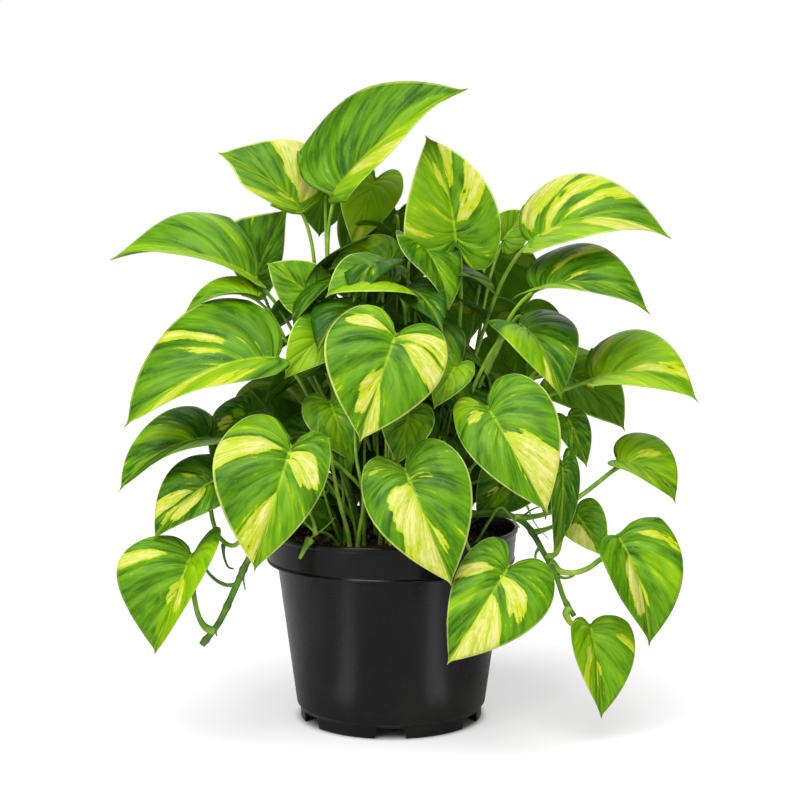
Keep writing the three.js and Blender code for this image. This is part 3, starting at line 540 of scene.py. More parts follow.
DARK_GREEN = colour(38, 88, 0)
MID_GREEN = colour(94, 150, 0)
LIME_GREEN = colour(146, 190, 2)
YELLOW_GREEN = colour(186, 200, 2)
CREAM_WHITE = colour(222, 216, 134)
PALE_GREEN = colour(180, 210, 50)
# The painted rim light: a pale line for the light through a leaf's thin margin
PAINTED_RIM_LIGHT = colour(222, 236, 120)
UNDERSIDE_GREEN = colour(88, 138, 14)
# A painted sheen: the grey-green that stands in for the lamps' soft reflection on a leaf
PAINTED_SHEEN_GREEN = colour(112, 162, 34)


def blade_material():
    """Waxy green, lighter and darker in streaks, with cream sectors that start yellow at
    the midrib, fray along the veins and let green dashes through. Painted sheen lies in patches
    between the veins, painted shade darkens the vein furrows near the midrib, and a painted rim
    light brightens the margin."""
    material, start = new_material("variegated_blade")

    def attribute(name):
        return start.node("ShaderNodeAttribute", {"attribute_name": name}, output="Fac")

    seed, reach, away = attribute("seed"), attribute("reach"), attribute("away")
    veins = start.node("ShaderNodeUVMap", {"uv_map": "Veins"})
    across, vein = veins.axis("X"), veins.axis("Y")

    def along_veins(per_half, per_edge, shift):
        return start.vector(across * per_half, vein * per_edge, seed * 7.3 + shift)

    streaks = noise(along_veins(5, 52, 0), 1, detail=5, roughness=0.6, distortion=0.2) - 0.5
    broad = noise(along_veins(3.4, 15, 5), 1, detail=3, roughness=0.5, distortion=0.4) - 0.5
    hairs = noise(along_veins(9, 150, 9), 1, detail=3, roughness=0.6)
    flat = start.node("ShaderNodeUVMap", {"uv_map": "Blade"})
    own = flat.moved(start.vector(seed, seed))
    flecks = noise(own, 34, detail=5, roughness=0.65) - 0.5
    spots = noise(own, 60, detail=2).step(0.66, 0.72)

    green = attribute("tone") + streaks * 1.2 + broad * 1.25 + attribute("lime") * 0.8
    base = green.step(0, 0.6).blend(DARK_GREEN, MID_GREEN)
    base = green.step(0.45, 1.25).blend(base, LIME_GREEN)
    deep = attribute("deep") * 0.7 + broad
    base = (deep.step(0.15, 0.8) * 0.8).blend(base, DARK_GREEN)
    base = (spots * 0.5).blend(base, LIME_GREEN)
    quilt = (vein * VEINS * math.pi).sin().abs()
    # Painted sheen: lighter green patches between the veins, in place of the lamps' reflection
    painted_sheen = quilt.step(0.35, 0.95) * reach.step(0.08, 0.3) * (1 - reach.step(0.6, 0.9))
    base = (painted_sheen * broad.step(-0.06, 0.1) * 0.5).blend(base, PAINTED_SHEEN_GREEN)
    # Painted shade: darker green along the vein furrows, most near the midrib
    base = ((1 - quilt.step(0.0, 0.3)) * (1 - reach) * 0.45).blend(base, DARK_GREEN)

    cream = attribute("cream") * 0.78 + streaks * 1.7 + broad * 0.9 + flecks * 0.35
    base = cream.step(0.28, 0.42).blend(base, YELLOW_GREEN)
    pale = (cream + flecks * 0.5).step(0.42, 1.05) * (0.3 + 0.7 * reach.step(0.02, 0.4))
    base = pale.blend(base, CREAM_WHITE)
    dashes = hairs.step(0.52, 0.64) * cream.step(0.35, 0.5) * (1 - streaks.step(0.02, 0.2))
    base = (dashes * 0.75).blend(base, LIME_GREEN)

    lines = (vein * VEINS * 2 * math.pi).sin().step(0.75, 1.0) * (1 - reach)
    base = (lines * 0.16).blend(base, PALE_GREEN)
    rib = away.hump(0.0008) * (1 - vein * 0.6)
    base = (rib * 0.8).blend(base, PALE_GREEN)
    # Painted rim light: a pale line along the margin for light through the thin edge, left off the darkest
    # leaves
    rim = reach.step(0.965, 0.988) * (0.75 + broad) * attribute("rim")
    base = (rim * attribute("tone").step(-0.1, 0.4)).blend(base, PAINTED_RIM_LIGHT)
    base = (attribute("under") * 0.55).blend(base, UNDERSIDE_GREEN)

    wax = 0.37 + broad * 0.3 + attribute("under") * 0.2
    height = noise(flat, 420, detail=2) * 0.2 + streaks * 0.7 + hairs * 0.5 + quilt ** 0.5 * 1.4
    finish_material(
        start, Base_Color=base, Roughness=wax, Specular_IOR_Level=0.17,
        Normal=bump(height, 0.0004, 0.8),
    )
    return material


def stalk_material(name, light, dark, woody):
    """Smooth green skin with fine lengthwise lines, browner at the old rings."""
    material, start = new_material(name)
    place = object_place(start)
    patches = noise(place, 90, detail=4)
    lines = noise(place.scaled((1, 1, 0.12)), 1400, detail=2)
    ring = start.node("ShaderNodeAttribute", {"attribute_name": "ring"}, output="Fac")
    base = patches.step(0.3, 0.7).blend(dark, light)
    base = (lines.step(0.55, 0.75) * 0.35).blend(base, light)
    base = (ring * woody).blend(base, colour(120, 104, 48))
    finish_material(
        start, Base_Color=base, Roughness=0.4 + (patches - 0.5) * 0.3,
        Normal=bump(lines + patches, 0.00012, 0.7),
    )
    return material


def pot_material():
    """Satin black moulded plastic, a little dusty near the ground, with fine scuffs."""
    material, start = new_material("satin_black_plastic")
    place = object_place(start)
    grain = noise(place, 2600, detail=2)
    cloud = noise(place, 22, detail=4, roughness=0.6)
    scuffs = noise(place.scaled((1, 1, 9)), 60, detail=5, roughness=0.7)
    specks = noise(place, 300, detail=1)
    dust = (1 - place.axis("Z").step(0, 0.05)) * cloud.step(0.35, 0.75) * 0.35
    base = cloud.step(0.3, 0.7).blend(colour(3, 3, 4), colour(7, 7, 8))
    base = (dust + specks.step(0.72, 0.78) * 0.25).blend(base, colour(52, 50, 46))
    finish_material(
        start, Base_Color=base, Specular_IOR_Level=0.3,
        Roughness=0.27 + (cloud - 0.5) * 0.1 + scuffs.step(0.55, 0.75) * 0.08,
        Normal=bump(grain * 0.4 + scuffs * 0.3, 0.0001, 0.4),
    )
    return material


def soil_material():
    """Dark moist potting mix with paler fibres."""
    material, start = new_material("moist_potting_mix")
    place = object_place(start)
    crumbs = noise(place, 260, detail=6, roughness=0.7)
    fibres = noise(place.scaled((1, 1, 4)), 700, detail=3)
    base = crumbs.step(0.3, 0.75).blend(colour(20, 13, 9), colour(66, 44, 28))
    base = (fibres.step(0.62, 0.72) * 0.4).blend(base, colour(128, 92, 58))
    finish_material(start, Base_Color=base, Roughness=0.95, Normal=bump(crumbs, 0.0012, 1.0))
    return material


def crumb_material():
    """Bark and peat crumbs, each in its own brown."""
    material, start = new_material("bark_crumbs")
    shade = start.node("ShaderNodeAttribute", {"attribute_name": "shade"}, output="Fac")
    grain = noise(object_place(start), 900, detail=4)
    base = shade.node("ShaderNodeValToRGB", {"stops": [
        (0, colour(22, 15, 11)), (0.55, colour(52, 34, 22)), (0.85, colour(96, 64, 40)),
        (1, colour(150, 122, 88)),
    ]}, {0: shade})
    base = grain.step(0.5, 0.8).blend(base, colour(30, 20, 14))
    finish_material(start, Base_Color=base, Roughness=0.9, Normal=bump(grain, 0.0004))
    return material


def floor_material():
    """White paper that the camera sees a little brighter away from the pot: a glow that only the
    camera sees paints light on it, and where that glow falls to nothing at the pot's foot it
    paints a shadow under and round the pot."""
    material, start = new_material("white_paper")
    place = object_place(start)
    base = noise(place, 3, detail=3).blend(colour(186, 186, 186), colour(190, 190, 190))
    away = start.node("ShaderNodeVectorMath", {"operation": "LENGTH"}, {0: place}, output="Value")
    seen = start.node("ShaderNodeLightPath", output="Is Camera Ray")
    # The glow is painted light for the camera only; it is nil near the pot's foot, a painted shadow there
    near, far = (away.step(low, high) * share for low, high, share in GLOW_RISES)
    glow = (seen * (near + far)).blend((0, 0, 0, 1), (1, 1, 1, 1))
    finish_material(
        start, Base_Color=base, Roughness=0.85, Emission_Color=glow, Emission_Strength=FLOOR_GLOW,
    )
    return material


# ---------------------------------------------------------------- geometry nodes


def new_tree(name, sizes):
    """A geometry node tree with a named input for each of sizes, and their wires."""
    tree = bpy.data.node_groups.new(name, "GeometryNodeTree")
    kinds = {float: "NodeSocketFloat", int: "NodeSocketInt"}
    add = tree.interface.new_socket
    add("Geometry", in_out="OUTPUT", socket_type="NodeSocketGeometry")
    add("Geometry", in_out="INPUT", socket_type="NodeSocketGeometry")
    for size, value in sizes.items():
        add(size, in_out="INPUT", socket_type=kinds[type(value)]).default_value = value
    add("Material", in_out="INPUT", socket_type="NodeSocketMaterial")
    entry = tree.nodes.new("NodeGroupInput")
    wires = {socket.name: Wire(tree, socket) for socket in entry.outputs if socket.name}
    return Wire(tree), wires


def end_tree(start, geometry, material):
    solid = start.node("GeometryNodeRealizeInstances", None, {0: geometry})
    painted = start.node("GeometryNodeSetMaterial", None, {"Geometry": solid, "Material": material})
    exit_node = start.tree.nodes.new("NodeGroupOutput")
    start.tree.links.new(painted.socket, exit_node.inputs[0])
    return start.tree


def grow(obj, tree, material, **sizes):
    """Runs a geometry node tree on an object and leaves the result as its plain mesh."""
    modifier = obj.modifiers.new(tree.name, "NODES")
    modifier.node_group = tree
    wanted = {name.replace("_", " "): value for name, value in sizes.items()}
    wanted["Material"] = material
    for item in tree.interface.items_tree:
        if item.in_out == "INPUT" and item.name in wanted:
            modifier[item.identifier] = wanted[item.name]
    graph = bpy.context.evaluated_depsgraph_get()
    mesh = bpy.data.meshes.new_from_object(
        obj.evaluated_get(graph), preserve_all_data_layers=True, depsgraph=graph,
    )
    obj.modifiers.clear()
    obj.data = mesh
    mesh.name = obj.name
    mesh.materials.clear()
    mesh.materials.append(material)
    mesh.polygons.foreach_set("material_index", np.zeros(len(mesh.polygons), np.int32))
    return obj


def stored(geometry, name, value, domain="POINT", selection=True):
    return geometry.node(
        "GeometryNodeStoreNamedAttribute", {"data_type": "FLOAT", "domain": domain},
        {"Geometry": geometry, "Selection": selection, "Name": name, "Value": value},
    )


def field(start, name):
    return start.node("GeometryNodeInputNamedAttribute", {"data_type": "FLOAT"}, {"Name": name})


def blade_tree():
    """Turns the flat layer of a blade into a thin solid, with quilting between its veins,
    a groove along the midrib, a rib under it, and waves towards the margin."""
    start, size = new_tree("blade", {
        "Thickness": 0.0005, "Rib": 0.0013, "Rib Width": 0.0011, "Groove": 0.0004,
        "Quilting": 0.0002, "Veins": float(VEINS), "Wave Height": 0.001, "Waves": 2.5, "Phase": 0.0,
    })
    vein, reach, away = field(start, "vein"), field(start, "reach"), field(start, "away")
    side = field(start, "side")
    normal = start.node("GeometryNodeInputNormal")
    wave = (vein * size["Waves"] * (2 * math.pi) + size["Phase"] + side * 1.3).sin()
    wave = wave * reach * reach * reach
    ends = (vein * math.pi).sin()
    pillow = (vein * size["Veins"] * math.pi).sin().abs() ** 0.5
    pillow = pillow * reach.step(0, 0.25) * (1 - reach.step(0.7, 1))
    midrib = away.hump(size["Rib Width"])
    rise = wave * size["Wave Height"] * ends + pillow * size["Quilting"] * ends
    rise = rise - midrib * size["Groove"] * (1 - vein)
    upper = start.node("GeometryNodeSetPosition", None, {
        "Geometry": size["Geometry"], "Offset": normal.scaled(rise),
    })
    depth = size["Thickness"] * (1 - 0.5 * reach) + midrib * size["Rib"] * (1 - vein * 0.9)
    extruded = start.node(
        "GeometryNodeExtrudeMesh", {"mode": "FACES"},
        {"Mesh": upper, "Offset": normal, "Offset Scale": -1 * depth, "Individual": False},
    )
    lower = stored(extruded, "under", 1.0, domain="FACE")
    lower = start.node("GeometryNodeFlipFaces", None, {0: lower})
    both = start.tree.nodes.new("GeometryNodeJoinGeometry")
    for part in (lower, upper):
        start.tree.links.new(part.socket, both.inputs[0])
    whole = start.node("GeometryNodeMergeByDistance", None, {
        "Geometry": Wire(start.tree, both.outputs[0]), "Distance": 1e-7,
    })
    smooth = start.node("GeometryNodeSetShadeSmooth", None, {0: whole})
    return end_tree(start, smooth, size["Material"])


def stalk_tree():
    """Sweeps a round section along a line of points: a petiole or a stem. It flares at its
    root, thickens towards its end, tapers, and carries rings at even gaps."""
    start, size = new_tree("stalk", {
        "Radius": 0.0013, "Flare": 0.6, "Flare Length": 0.008, "Collar": 0.25, "Collar Length": 0.005,
        "Taper": 0.1, "Ring Gap": 0.03, "Ring Height": 0.0, "Ring Width": 0.0012, "Sides": STALK_SIDES,
    })
    line = start.node("GeometryNodeMeshToCurve", None, {0: size["Geometry"]})
    share = start.node("GeometryNodeSplineParameter", output="Factor")
    run = start.node("GeometryNodeSplineParameter", output="Length")
    whole = start.node("GeometryNodeSplineLength", output="Length")
    ring = (((run / size["Ring Gap"]).fraction() - 0.5) * size["Ring Gap"]).hump(size["Ring Width"])
    girth = 1 + run.hump(size["Flare Length"]) * size["Flare"]
    girth = girth + (whole - run).hump(size["Collar Length"]) * size["Collar"]
    radius = size["Radius"] * (girth - share * size["Taper"]) + ring * size["Ring Height"]
    line = stored(line, "ring", ring)
    section = start.node("GeometryNodeCurvePrimitiveCircle", None, {
        "Resolution": size["Sides"], "Radius": 1.0,
    })
    tube = start.node("GeometryNodeCurveToMesh", None, {
        "Curve": line, "Profile Curve": section, "Scale": radius, "Fill Caps": True,
    })
    smooth = start.node("GeometryNodeSetShadeSmooth", None, {0: tube})
    return end_tree(start, smooth, size["Material"])


def turned(start, size):
    """The section that a tree is given, turned about the pot's axis into a closed body."""
    section = start.node("GeometryNodeMeshToCurve", None, {0: size["Geometry"]})
    path = start.node("GeometryNodeCurvePrimitiveCircle", None, {
        "Resolution": size["Segments"], "Radius": 1e-7,
    })
    body = start.node("GeometryNodeCurveToMesh", None, {"Curve": path, "Profile Curve": section})
    return start.node("GeometryNodeMergeByDistance", None, {"Geometry": body, "Distance": 1e-5})


def pot_tree():
    """Turns the pot's section about its axis, then cuts the notches of the foot and the
    drain holes of the floor."""
    start, size = new_tree("pot", {
        "Segments": 180, "Notches": NOTCH["count"], "Notch Width": NOTCH["width"] * MM,
        "Notch Top": NOTCH["top_width"] * MM, "Notch Height": NOTCH["height"] * MM,
        "Foot Radius": POT["foot_radius"] * MM, "Floor Height": POT["floor_level"] * MM,
        "Holes": DRAIN["count"], "Hole Radius": DRAIN["radius"] * MM, "Hole Circle": DRAIN["circle"] * MM,
        "Cutter Depth": 0.012,
    })
    vector = start.vector
    body = turned(start, size)

    def ring(cutter, count):
        """Copies of a cutter, turned about the pot's axis by even steps."""
        line = start.node("GeometryNodeMeshLine", None, {"Count": count, "Offset": (0, 0, 0)})
        turn = start.node("GeometryNodeInputIndex") * (2 * math.pi) / count
        copies = start.node("GeometryNodeInstanceOnPoints", None, {
            "Points": line, "Instance": cutter, "Rotation": vector(0, 0, turn),
        })
        return start.node("GeometryNodeRealizeInstances", None, {0: copies})

    height = size["Notch Height"]
    block = start.node("GeometryNodeMeshCube", None, {
        "Size": vector(size["Notch Width"], size["Cutter Depth"], height * 2),
    })
    place = start.node("GeometryNodeInputPosition")
    narrow = 1 - place.axis("Z").step(0, height) * (1 - size["Notch Top"] / size["Notch Width"])
    block = start.node("GeometryNodeSetPosition", None, {
        "Geometry": block, "Position": start.node("ShaderNodeVectorMath", {"operation": "MULTIPLY"}, {
            0: place, 1: vector(narrow, 1, 1),
        }),
    })
    block = start.node("GeometryNodeTransform", None, {
        "Geometry": block, "Translation": vector(0, -1 * size["Foot Radius"], 0),
    })
    drill = start.node("GeometryNodeMeshCylinder", None, {
        "Vertices": 24, "Radius": size["Hole Radius"], "Depth": size["Cutter Depth"],
    })
    drill = start.node("GeometryNodeTransform", None, {
        "Geometry": drill, "Translation": vector(size["Hole Circle"], 0, size["Floor Height"]),
    })
    for cutters in (ring(block, size["Notches"]), ring(drill, size["Holes"])):
        body = start.node("GeometryNodeMeshBoolean", {"operation": "DIFFERENCE", "solver": "EXACT"}, {
            "Mesh 1": body, "Mesh 2": cutters,
        })
    return end_tree(start, body, size["Material"])


def soil_tree():
    """Turns the soil's section about the pot's axis and makes its top lumpy."""
    start, size = new_tree("soil", {
        "Segments": 150, "Lumps": 0.0016, "Lump Scale": 120.0, "Top": 0.1105, "Edge": 0.074,
    })
    body = turned(start, size)
    place = start.node("GeometryNodeInputPosition")
    x, y, level = (place.axis(name) for name in "XYZ")
    radius = (x * x + y * y) ** 0.5
    top, edge = size["Top"], size["Edge"]
    loose = level.step(top - 0.001, top) * (1 - radius.step(edge - 0.003, edge))
    lumps = noise(place, size["Lump Scale"], detail=4, roughness=0.6) - 0.45
    body = start.node("GeometryNodeSetPosition", None, {
        "Geometry": body, "Offset": start.vector(z=lumps * 2 * size["Lumps"] * loose),
    })
    smooth = start.node("GeometryNodeSetShadeSmooth", None, {0: body})
    return end_tree(start, smooth, size["Material"])


def crumb_tree():
    """Strews crumbs of bark over the upper side of a surface."""
    start, size = new_tree("crumbs", {"Density": 90000.0, "Size": 0.0022, "Seed": 3})
    points = start.node("GeometryNodeDistributePointsOnFaces", None, {
        "Mesh": size["Geometry"], "Density": size["Density"], "Seed": size["Seed"],
        "Selection": start.node("GeometryNodeInputNormal").axis("Z").step(0.6, 0.61),
    })
    crumb = start.node("GeometryNodeMeshIcoSphere", None, {"Radius": size["Size"], "Subdivisions": 1})

    def random(kind, low, high, salt):
        low_key, high_key, output = {"FLOAT_VECTOR": (0, 1, 0), "FLOAT": (2, 3, 1)}[kind]
        return start.node(
            "FunctionNodeRandomValue", {"data_type": kind},
            {low_key: low, high_key: high, "Seed": size["Seed"] + salt}, output=output,
        )

    spun = start.node("GeometryNodeInstanceOnPoints", None, {
        "Points": points, "Instance": crumb,
        "Rotation": random("FLOAT_VECTOR", (0, 0, 0), (6.28, 6.28, 6.28), 1),
        "Scale": random("FLOAT_VECTOR", (0.25, 0.3, 0.15), (1.5, 0.9, 0.6), 2),
    })
    shaded = stored(spun, "shade", random("FLOAT", 0.0, 1.0, 3), domain="INSTANCE")
    return end_tree(start, shaded, size["Material"])


# ---------------------------------------------------------------- leaf and stem geometry


def unit(vectors):
    return vectors / np.linalg.norm(vectors, axis=-1, keepdims=True)


def smooth_step(value):
    share = np.clip(value, 0, 1)
    return share * share * (3 - 2 * share)


def outline_at(t):
    """A point of the half outline, t running from notch to tip along an even spline."""
    last = len(OUTLINE) - 1
    place = np.clip(t, 0, 1) * last
    index = np.minimum(place.astype(int), last - 1)
    w = (place - index)[..., None]
    before, a = OUTLINE[np.maximum(index - 1, 0)], OUTLINE[index]
    b, after = OUTLINE[index + 1], OUTLINE[np.minimum(index + 2, last)]
    leave, reach = (b - before) / 2, (after - a) / 2
    cube, square = 2 * a - 2 * b + leave + reach, -3 * a + 3 * b - 2 * leave - reach
    return cube * w**3 + square * w**2 + leave * w + a


def blade_axes(leaf):
    base, tip, face = (np.array(leaf[key], float) for key in ("base", "tip", "face"))
    along = unit(tip - base)
    up = unit(face - (face @ along) * along)
    return base, tip, along, up, np.cross(along, up)


def midrib_at(leaf, along):
    """Place, upward and rightward direction on the midrib at these shares of its length."""
    base, tip, _, up, right = blade_axes(leaf)
    crest = base + MIDRIB_CREST * (tip - base) + 2 * leaf["arch"] * up + 2 * leaf["sway"] * right
    v = np.asarray(along, float)[..., None]
    place = (1 - v) ** 2 * base + 2 * v * (1 - v) * crest + v * v * tip
    ahead = unit((1 - v) * (crest - base) + v * (tip - crest))
    out = unit(up - (ahead @ up)[..., None] * ahead)
    return place, out, np.cross(ahead, out)


def half_blade(leaf, side, t, s):
    """Places on one half of a blade, and the same flattened: t runs round the margin from
    notch to tip, s from midrib to margin along the veins."""
    k = 0 if side == L else 1
    half = leaf["width"] * (leaf["left"] if side == L else 1 - leaf["left"])
    edge_x, edge_y = np.moveaxis(outline_at(t), -1, 0)
    start = np.maximum(0, (t - FAN) / (1 - FAN)) ** VEIN_SWEEP
    edge_along = np.where(edge_y < 0, edge_y * leaf["lobe"], edge_y)
    edge_along = edge_along + leaf["ovate"][k] * edge_x * (1 - edge_y)
    along = start * (1 - s) + edge_along * s - VEIN_BOW * s * (1 - s) * np.sin(np.pi * t) * edge_x
    away = edge_x * s * half
    fold, bend = math.radians(leaf["fold"][k]), math.radians(leaf["curl"][k]) / half
    lean = fold + bend * away
    if abs(bend) < 1e-6:
        across, raised = away * math.cos(fold), away * math.sin(fold)
    else:
        across = (np.sin(lean) - math.sin(fold)) / bend
        raised = (math.cos(fold) - np.cos(lean)) / bend
    place, out, right = midrib_at(leaf, along)
    length = np.linalg.norm(np.array(leaf["tip"], float) - np.array(leaf["base"], float))
    place = place + (side * across)[..., None] * right + raised[..., None] * out
    return place, np.stack([side * away, along * length], -1)


def mark_strength(leaf_marks, finish, side, t, s):
    """How strongly a finish is marked at these places. A mark is a flame that follows the
    veins: it opens from a point, or from the midrib, and closes unless it meets the margin."""
    total = np.zeros_like(t)
    for kind, half, t0, t1, s0, s1, strength in leaf_marks:
        if kind != finish or half != side:
            continue
        run = np.clip((s - s0) / (s1 - s0), 0, 1)
        opening = np.minimum(1, run / FLAME_POINT) ** 0.7
        opening = opening if s0 > 0 else 0.7 + 0.3 * opening
        closing = 1 if s1 >= 0.95 else np.minimum(1, (1 - run) / FLAME_POINT) ** 0.7
        spread = ((t1 - t0) / 2 + MARK_EDGE / 2) * opening * closing
        inside = (spread - np.abs(t - (t0 + t1) / 2)) / MARK_EDGE
        total = np.maximum(total, strength * smooth_step(inside))
    return total


def chance_marks(random):
    """Sectors for a leaf that the photograph doesn't show."""
    marks = []
    for _ in range(random.integers(3, 6)):
        t0 = random.uniform(0.3, 0.75)
        marks.append((
            CREAM if random.random() < 0.65 else LIME, L if random.random() < 0.5 else R,
            t0, t0 + random.uniform(0.05, 0.16), random.uniform(0, 0.35), random.uniform(0.55, 1),
            random.uniform(0.6, 1),
        ))
    return marks


def blade_layer(name, leaf, number, rows=BLADE_ROWS, columns=BLADE_COLUMNS):
    """The flat layer that a blade grows from, with what its relief and its skin need."""
    marks = MARKS[name] if name in MARKS else chance_marks(np.random.default_rng(SEED + number))
    t_line = np.linspace(0, 1, rows + 1)
    s_line = np.linspace(0, 1, columns + 1) ** TOWARDS_MIDRIB
    t, s = np.meshgrid(t_line, s_line, indexing="ij")
    points, point_data, corner_data, faces = [], {}, [], []
    shape = t.shape
    for side in (L, R):
        place, flat = half_blade(leaf, side, t, s)
        first = sum(len(p) for p in points)
        points.append(place.reshape(-1, 3) * MM)
        even = {"side": side, "seed": number, "tone": leaf["tone"], "rim": leaf["rim"]}
        values = {
            "vein": t, "reach": s, "away": np.abs(flat[..., 0]) * MM,
            **{key: np.full(shape, float(value)) for key, value in even.items()},
            **{finish: mark_strength(marks, finish, side, t, s) for finish in (CREAM, LIME, DEEP)},
        }
        for key, value in values.items():
            point_data.setdefault(key, []).append(value.reshape(-1))
        index = np.arange(t.size).reshape(shape) + first
        quads = np.stack([index[:-1, :-1], index[1:, :-1], index[1:, 1:], index[:-1, 1:]], -1)
        quads = quads.reshape(-1, 4)
        faces.append(quads if side == L else quads[:, ::-1])
        across_and_vein = np.stack([0.5 + 0.5 * side * s, t], -1).reshape(-1, 2)
        corner_data.append(np.concatenate([across_and_vein, flat.reshape(-1, 2) * MM * UV_SCALE], -1))
    points, corner_data = np.concatenate(points), np.concatenate(corner_data)
    for end in (np.array(leaf[key], float) * MM for key in ("base", "tip")):
        points[np.linalg.norm(points - end, axis=1) < END_WELD * MM] = end
    cells = np.round(points / WELD_GRID).astype(int)
    _, kept, welded = np.unique(cells, axis=0, return_index=True, return_inverse=True)
    welded = welded.reshape(-1)
    polygons, corners = [], []
    for quad in np.concatenate(faces):
        ring = [c for i, c in enumerate(quad) if welded[c] != welded[quad[i - 1]]]
        if len(ring) > 2:
            polygons.append([int(welded[c]) for c in ring])
            corners.extend(ring)
    mesh = bpy.data.meshes.new(name)
    mesh.from_pydata(points[kept].tolist(), [], polygons)
    for key, value in point_data.items():
        layer = mesh.attributes.new(key, "FLOAT", "POINT")
        layer.data.foreach_set("value", np.concatenate(value)[kept].astype(np.float32))
    for key, part in (("Veins", slice(0, 2)), ("Blade", slice(2, 4))):
        layer = mesh.uv_layers.new(name=key)
        layer.data.foreach_set("uv", corner_data[corners][:, part].astype(np.float32).reshape(-1))
    return mesh


def even_line(points, count):
    """Points at equal distances along the curve that a centripetal spline draws."""
    points = [np.array(p, float) for p in points]
    ends = [2 * points[0] - points[1], *points, 2 * points[-1] - points[-2]]
    drawn = []
    for a, b, c, d in zip(ends, ends[1:], ends[2:], ends[3:]):
        gaps = [max(np.linalg.norm(q - p), 1e-9) ** 0.5 for p, q in ((a, b), (b, c), (c, d))]
        leave = ((b - a) / gaps[0] - (c - a) / (gaps[0] + gaps[1]) + (c - b) / gaps[1]) * gaps[1]
        reach = ((c - b) / gaps[1] - (d - b) / (gaps[1] + gaps[2]) + (d - c) / gaps[2]) * gaps[1]
        for w in np.linspace(0, 1, SPLINE_STEPS, endpoint=False):
            square, cube = 3 * c - 3 * b - 2 * leave - reach, 2 * b - 2 * c + leave + reach
            drawn.append(b + leave * w + square * w**2 + cube * w**3)
    drawn = np.array([*drawn, points[-1]])
    run = np.concatenate([[0], np.cumsum(np.linalg.norm(np.diff(drawn, axis=0), axis=1))])
    even = np.linspace(0, run[-1], count)
    return np.stack([np.interp(even, run, drawn[:, i]) for i in range(3)], -1)


def stem_line(stem, count=201):
    return even_line(stem["through"], count)


def petiole_line(leaf):
    """A petiole springs from its stem, rises, and comes in under the base of its blade."""
    stem = stem_line(STEMS[leaf["on"]])
    last = len(stem) - 1
    at = int(round(leaf["at"] * last))
    start, tangent = stem[at], unit(stem[min(at + 1, last)] - stem[max(at - 1, 0)])
    _, _, along, up, _ = blade_axes(leaf)
    place, out, _ = midrib_at(leaf, PETIOLE_REACH / leaf["width"])
    end = place - PETIOLE_DEPTH * out
    if "path" in leaf:
        return even_line([start, *leaf["path"], end], PETIOLE_POINTS)
    length = np.linalg.norm(end - start)
    outward = (end - start) * (1, 1, 0)
    depart = unit(0.5 * tangent + 0.55 * unit(outward) + np.array([0, 0, 0.45]))
    arrive = unit(0.5 * up + 0.8 * along)
    bow = np.array(leaf["bow"], float)
    near = start + PETIOLE_LEAVE * length * depart + bow
    far = end - PETIOLE_ARRIVE * length * arrive + bow
    w = np.linspace(0, 1, PETIOLE_POINTS)[:, None]
    return (1 - w) ** 3 * start + 3 * w * (1 - w) ** 2 * near + 3 * w * w * (1 - w) * far + w**3 * end


# ---------------------------------------------------------------- pieces


def new_object(name, data):
    obj = bpy.data.objects.new(name, data)
    bpy.context.scene.collection.objects.link(obj)
    return obj


def line_object(name, points):
    """A line of points, given in millimetres, for a tree to sweep or turn."""
    mesh = bpy.data.meshes.new(name)
    edges = [(i, i + 1) for i in range(len(points) - 1)]
    mesh.from_pydata((np.asarray(points, float) * MM).tolist(), edges, [])
    return new_object(name, mesh)


def turned_object(name, section):
    """The line of a section, given as radii and heights, for a tree to turn."""
    return line_object(name, [(radius, -height, 0) for radius, height in section[::-1]])


def joined(target, *others):
    chosen = [target, *others]
    with bpy.context.temp_override(active_object=target, selected_editable_objects=chosen):
        bpy.ops.object.join()
    return target


def gathered_piece(name, objects, slot):
    """Small things joined into one piece of their own, in place of no CAD node."""
    body = joined(*objects)
    body.name = body.data.name = name
    piece(body, slot)


def piece(obj, slot, *nodes):
    """Puts a finished piece on the plant's body, in place of CAD nodes."""
    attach(obj, "root")
    if nodes:
        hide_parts(*nodes)
    return obj


def add_leaf(name, leaf, number, trees, materials):
    random = np.random.default_rng(SEED * 7 + number)
    blade = new_object(f"{name}_leaf", blade_layer(name, leaf, number))
    size = leaf["width"] / USUAL_WIDTH
    grow(
        blade, trees["blade"], materials["blade"], Quilting=0.0007 * size,
        Wave_Height=0.0011 * size, Waves=random.uniform(1.8, 3.2), Phase=random.uniform(0, 6),
    )
    petiole = line_object(f"{name}_petiole", petiole_line(leaf))
    thin = min(1.0, PETIOLE_THIN + (1 - PETIOLE_THIN) * leaf["width"] / PETIOLE_FULL)
    radius = PETIOLE_RADIUS * MM * thin * leaf["stout"]
    grow(petiole, trees["stalk"], materials["petiole"], Radius=radius)
    piece(joined(blade, petiole), "variegated_leaf", f"leaf_{name}")


def add_stem(name, stem, trees, materials):
    count, ring_gap = (90, 0.024) if name.endswith("vine") else (50, 0.018)
    stalk = line_object(f"{name}_stalk", stem_line(stem, count))
    grow(
        stalk, trees["stalk"], materials["stem"], Radius=stem["radius"] * MM * BARE_STEM, Flare=0.15,
        Collar=0.05, Ring_Gap=ring_gap, Ring_Height=0.0006, Ring_Width=0.0016,
        Taper=stem.get("taper", STEM_TAPER),
    )
    piece(stalk, "green_stem", name)


def rounded(section, radius, steps=5):
    """A section's points with each corner rounded, in millimetres."""
    points = [np.array(p, float) for p in section]
    smooth = [points[0]]
    for before, corner, after in zip(points, points[1:], points[2:]):
        reach = min(radius, *(0.45 * np.linalg.norm(p - corner) for p in (before, after)))
        a, b = corner + reach * unit(before - corner), corner + reach * unit(after - corner)
        for w in np.linspace(0, 1, steps):
            smooth.append((1 - w) ** 2 * a + 2 * w * (1 - w) * corner + w * w * b)
    return [*smooth, points[-1]]


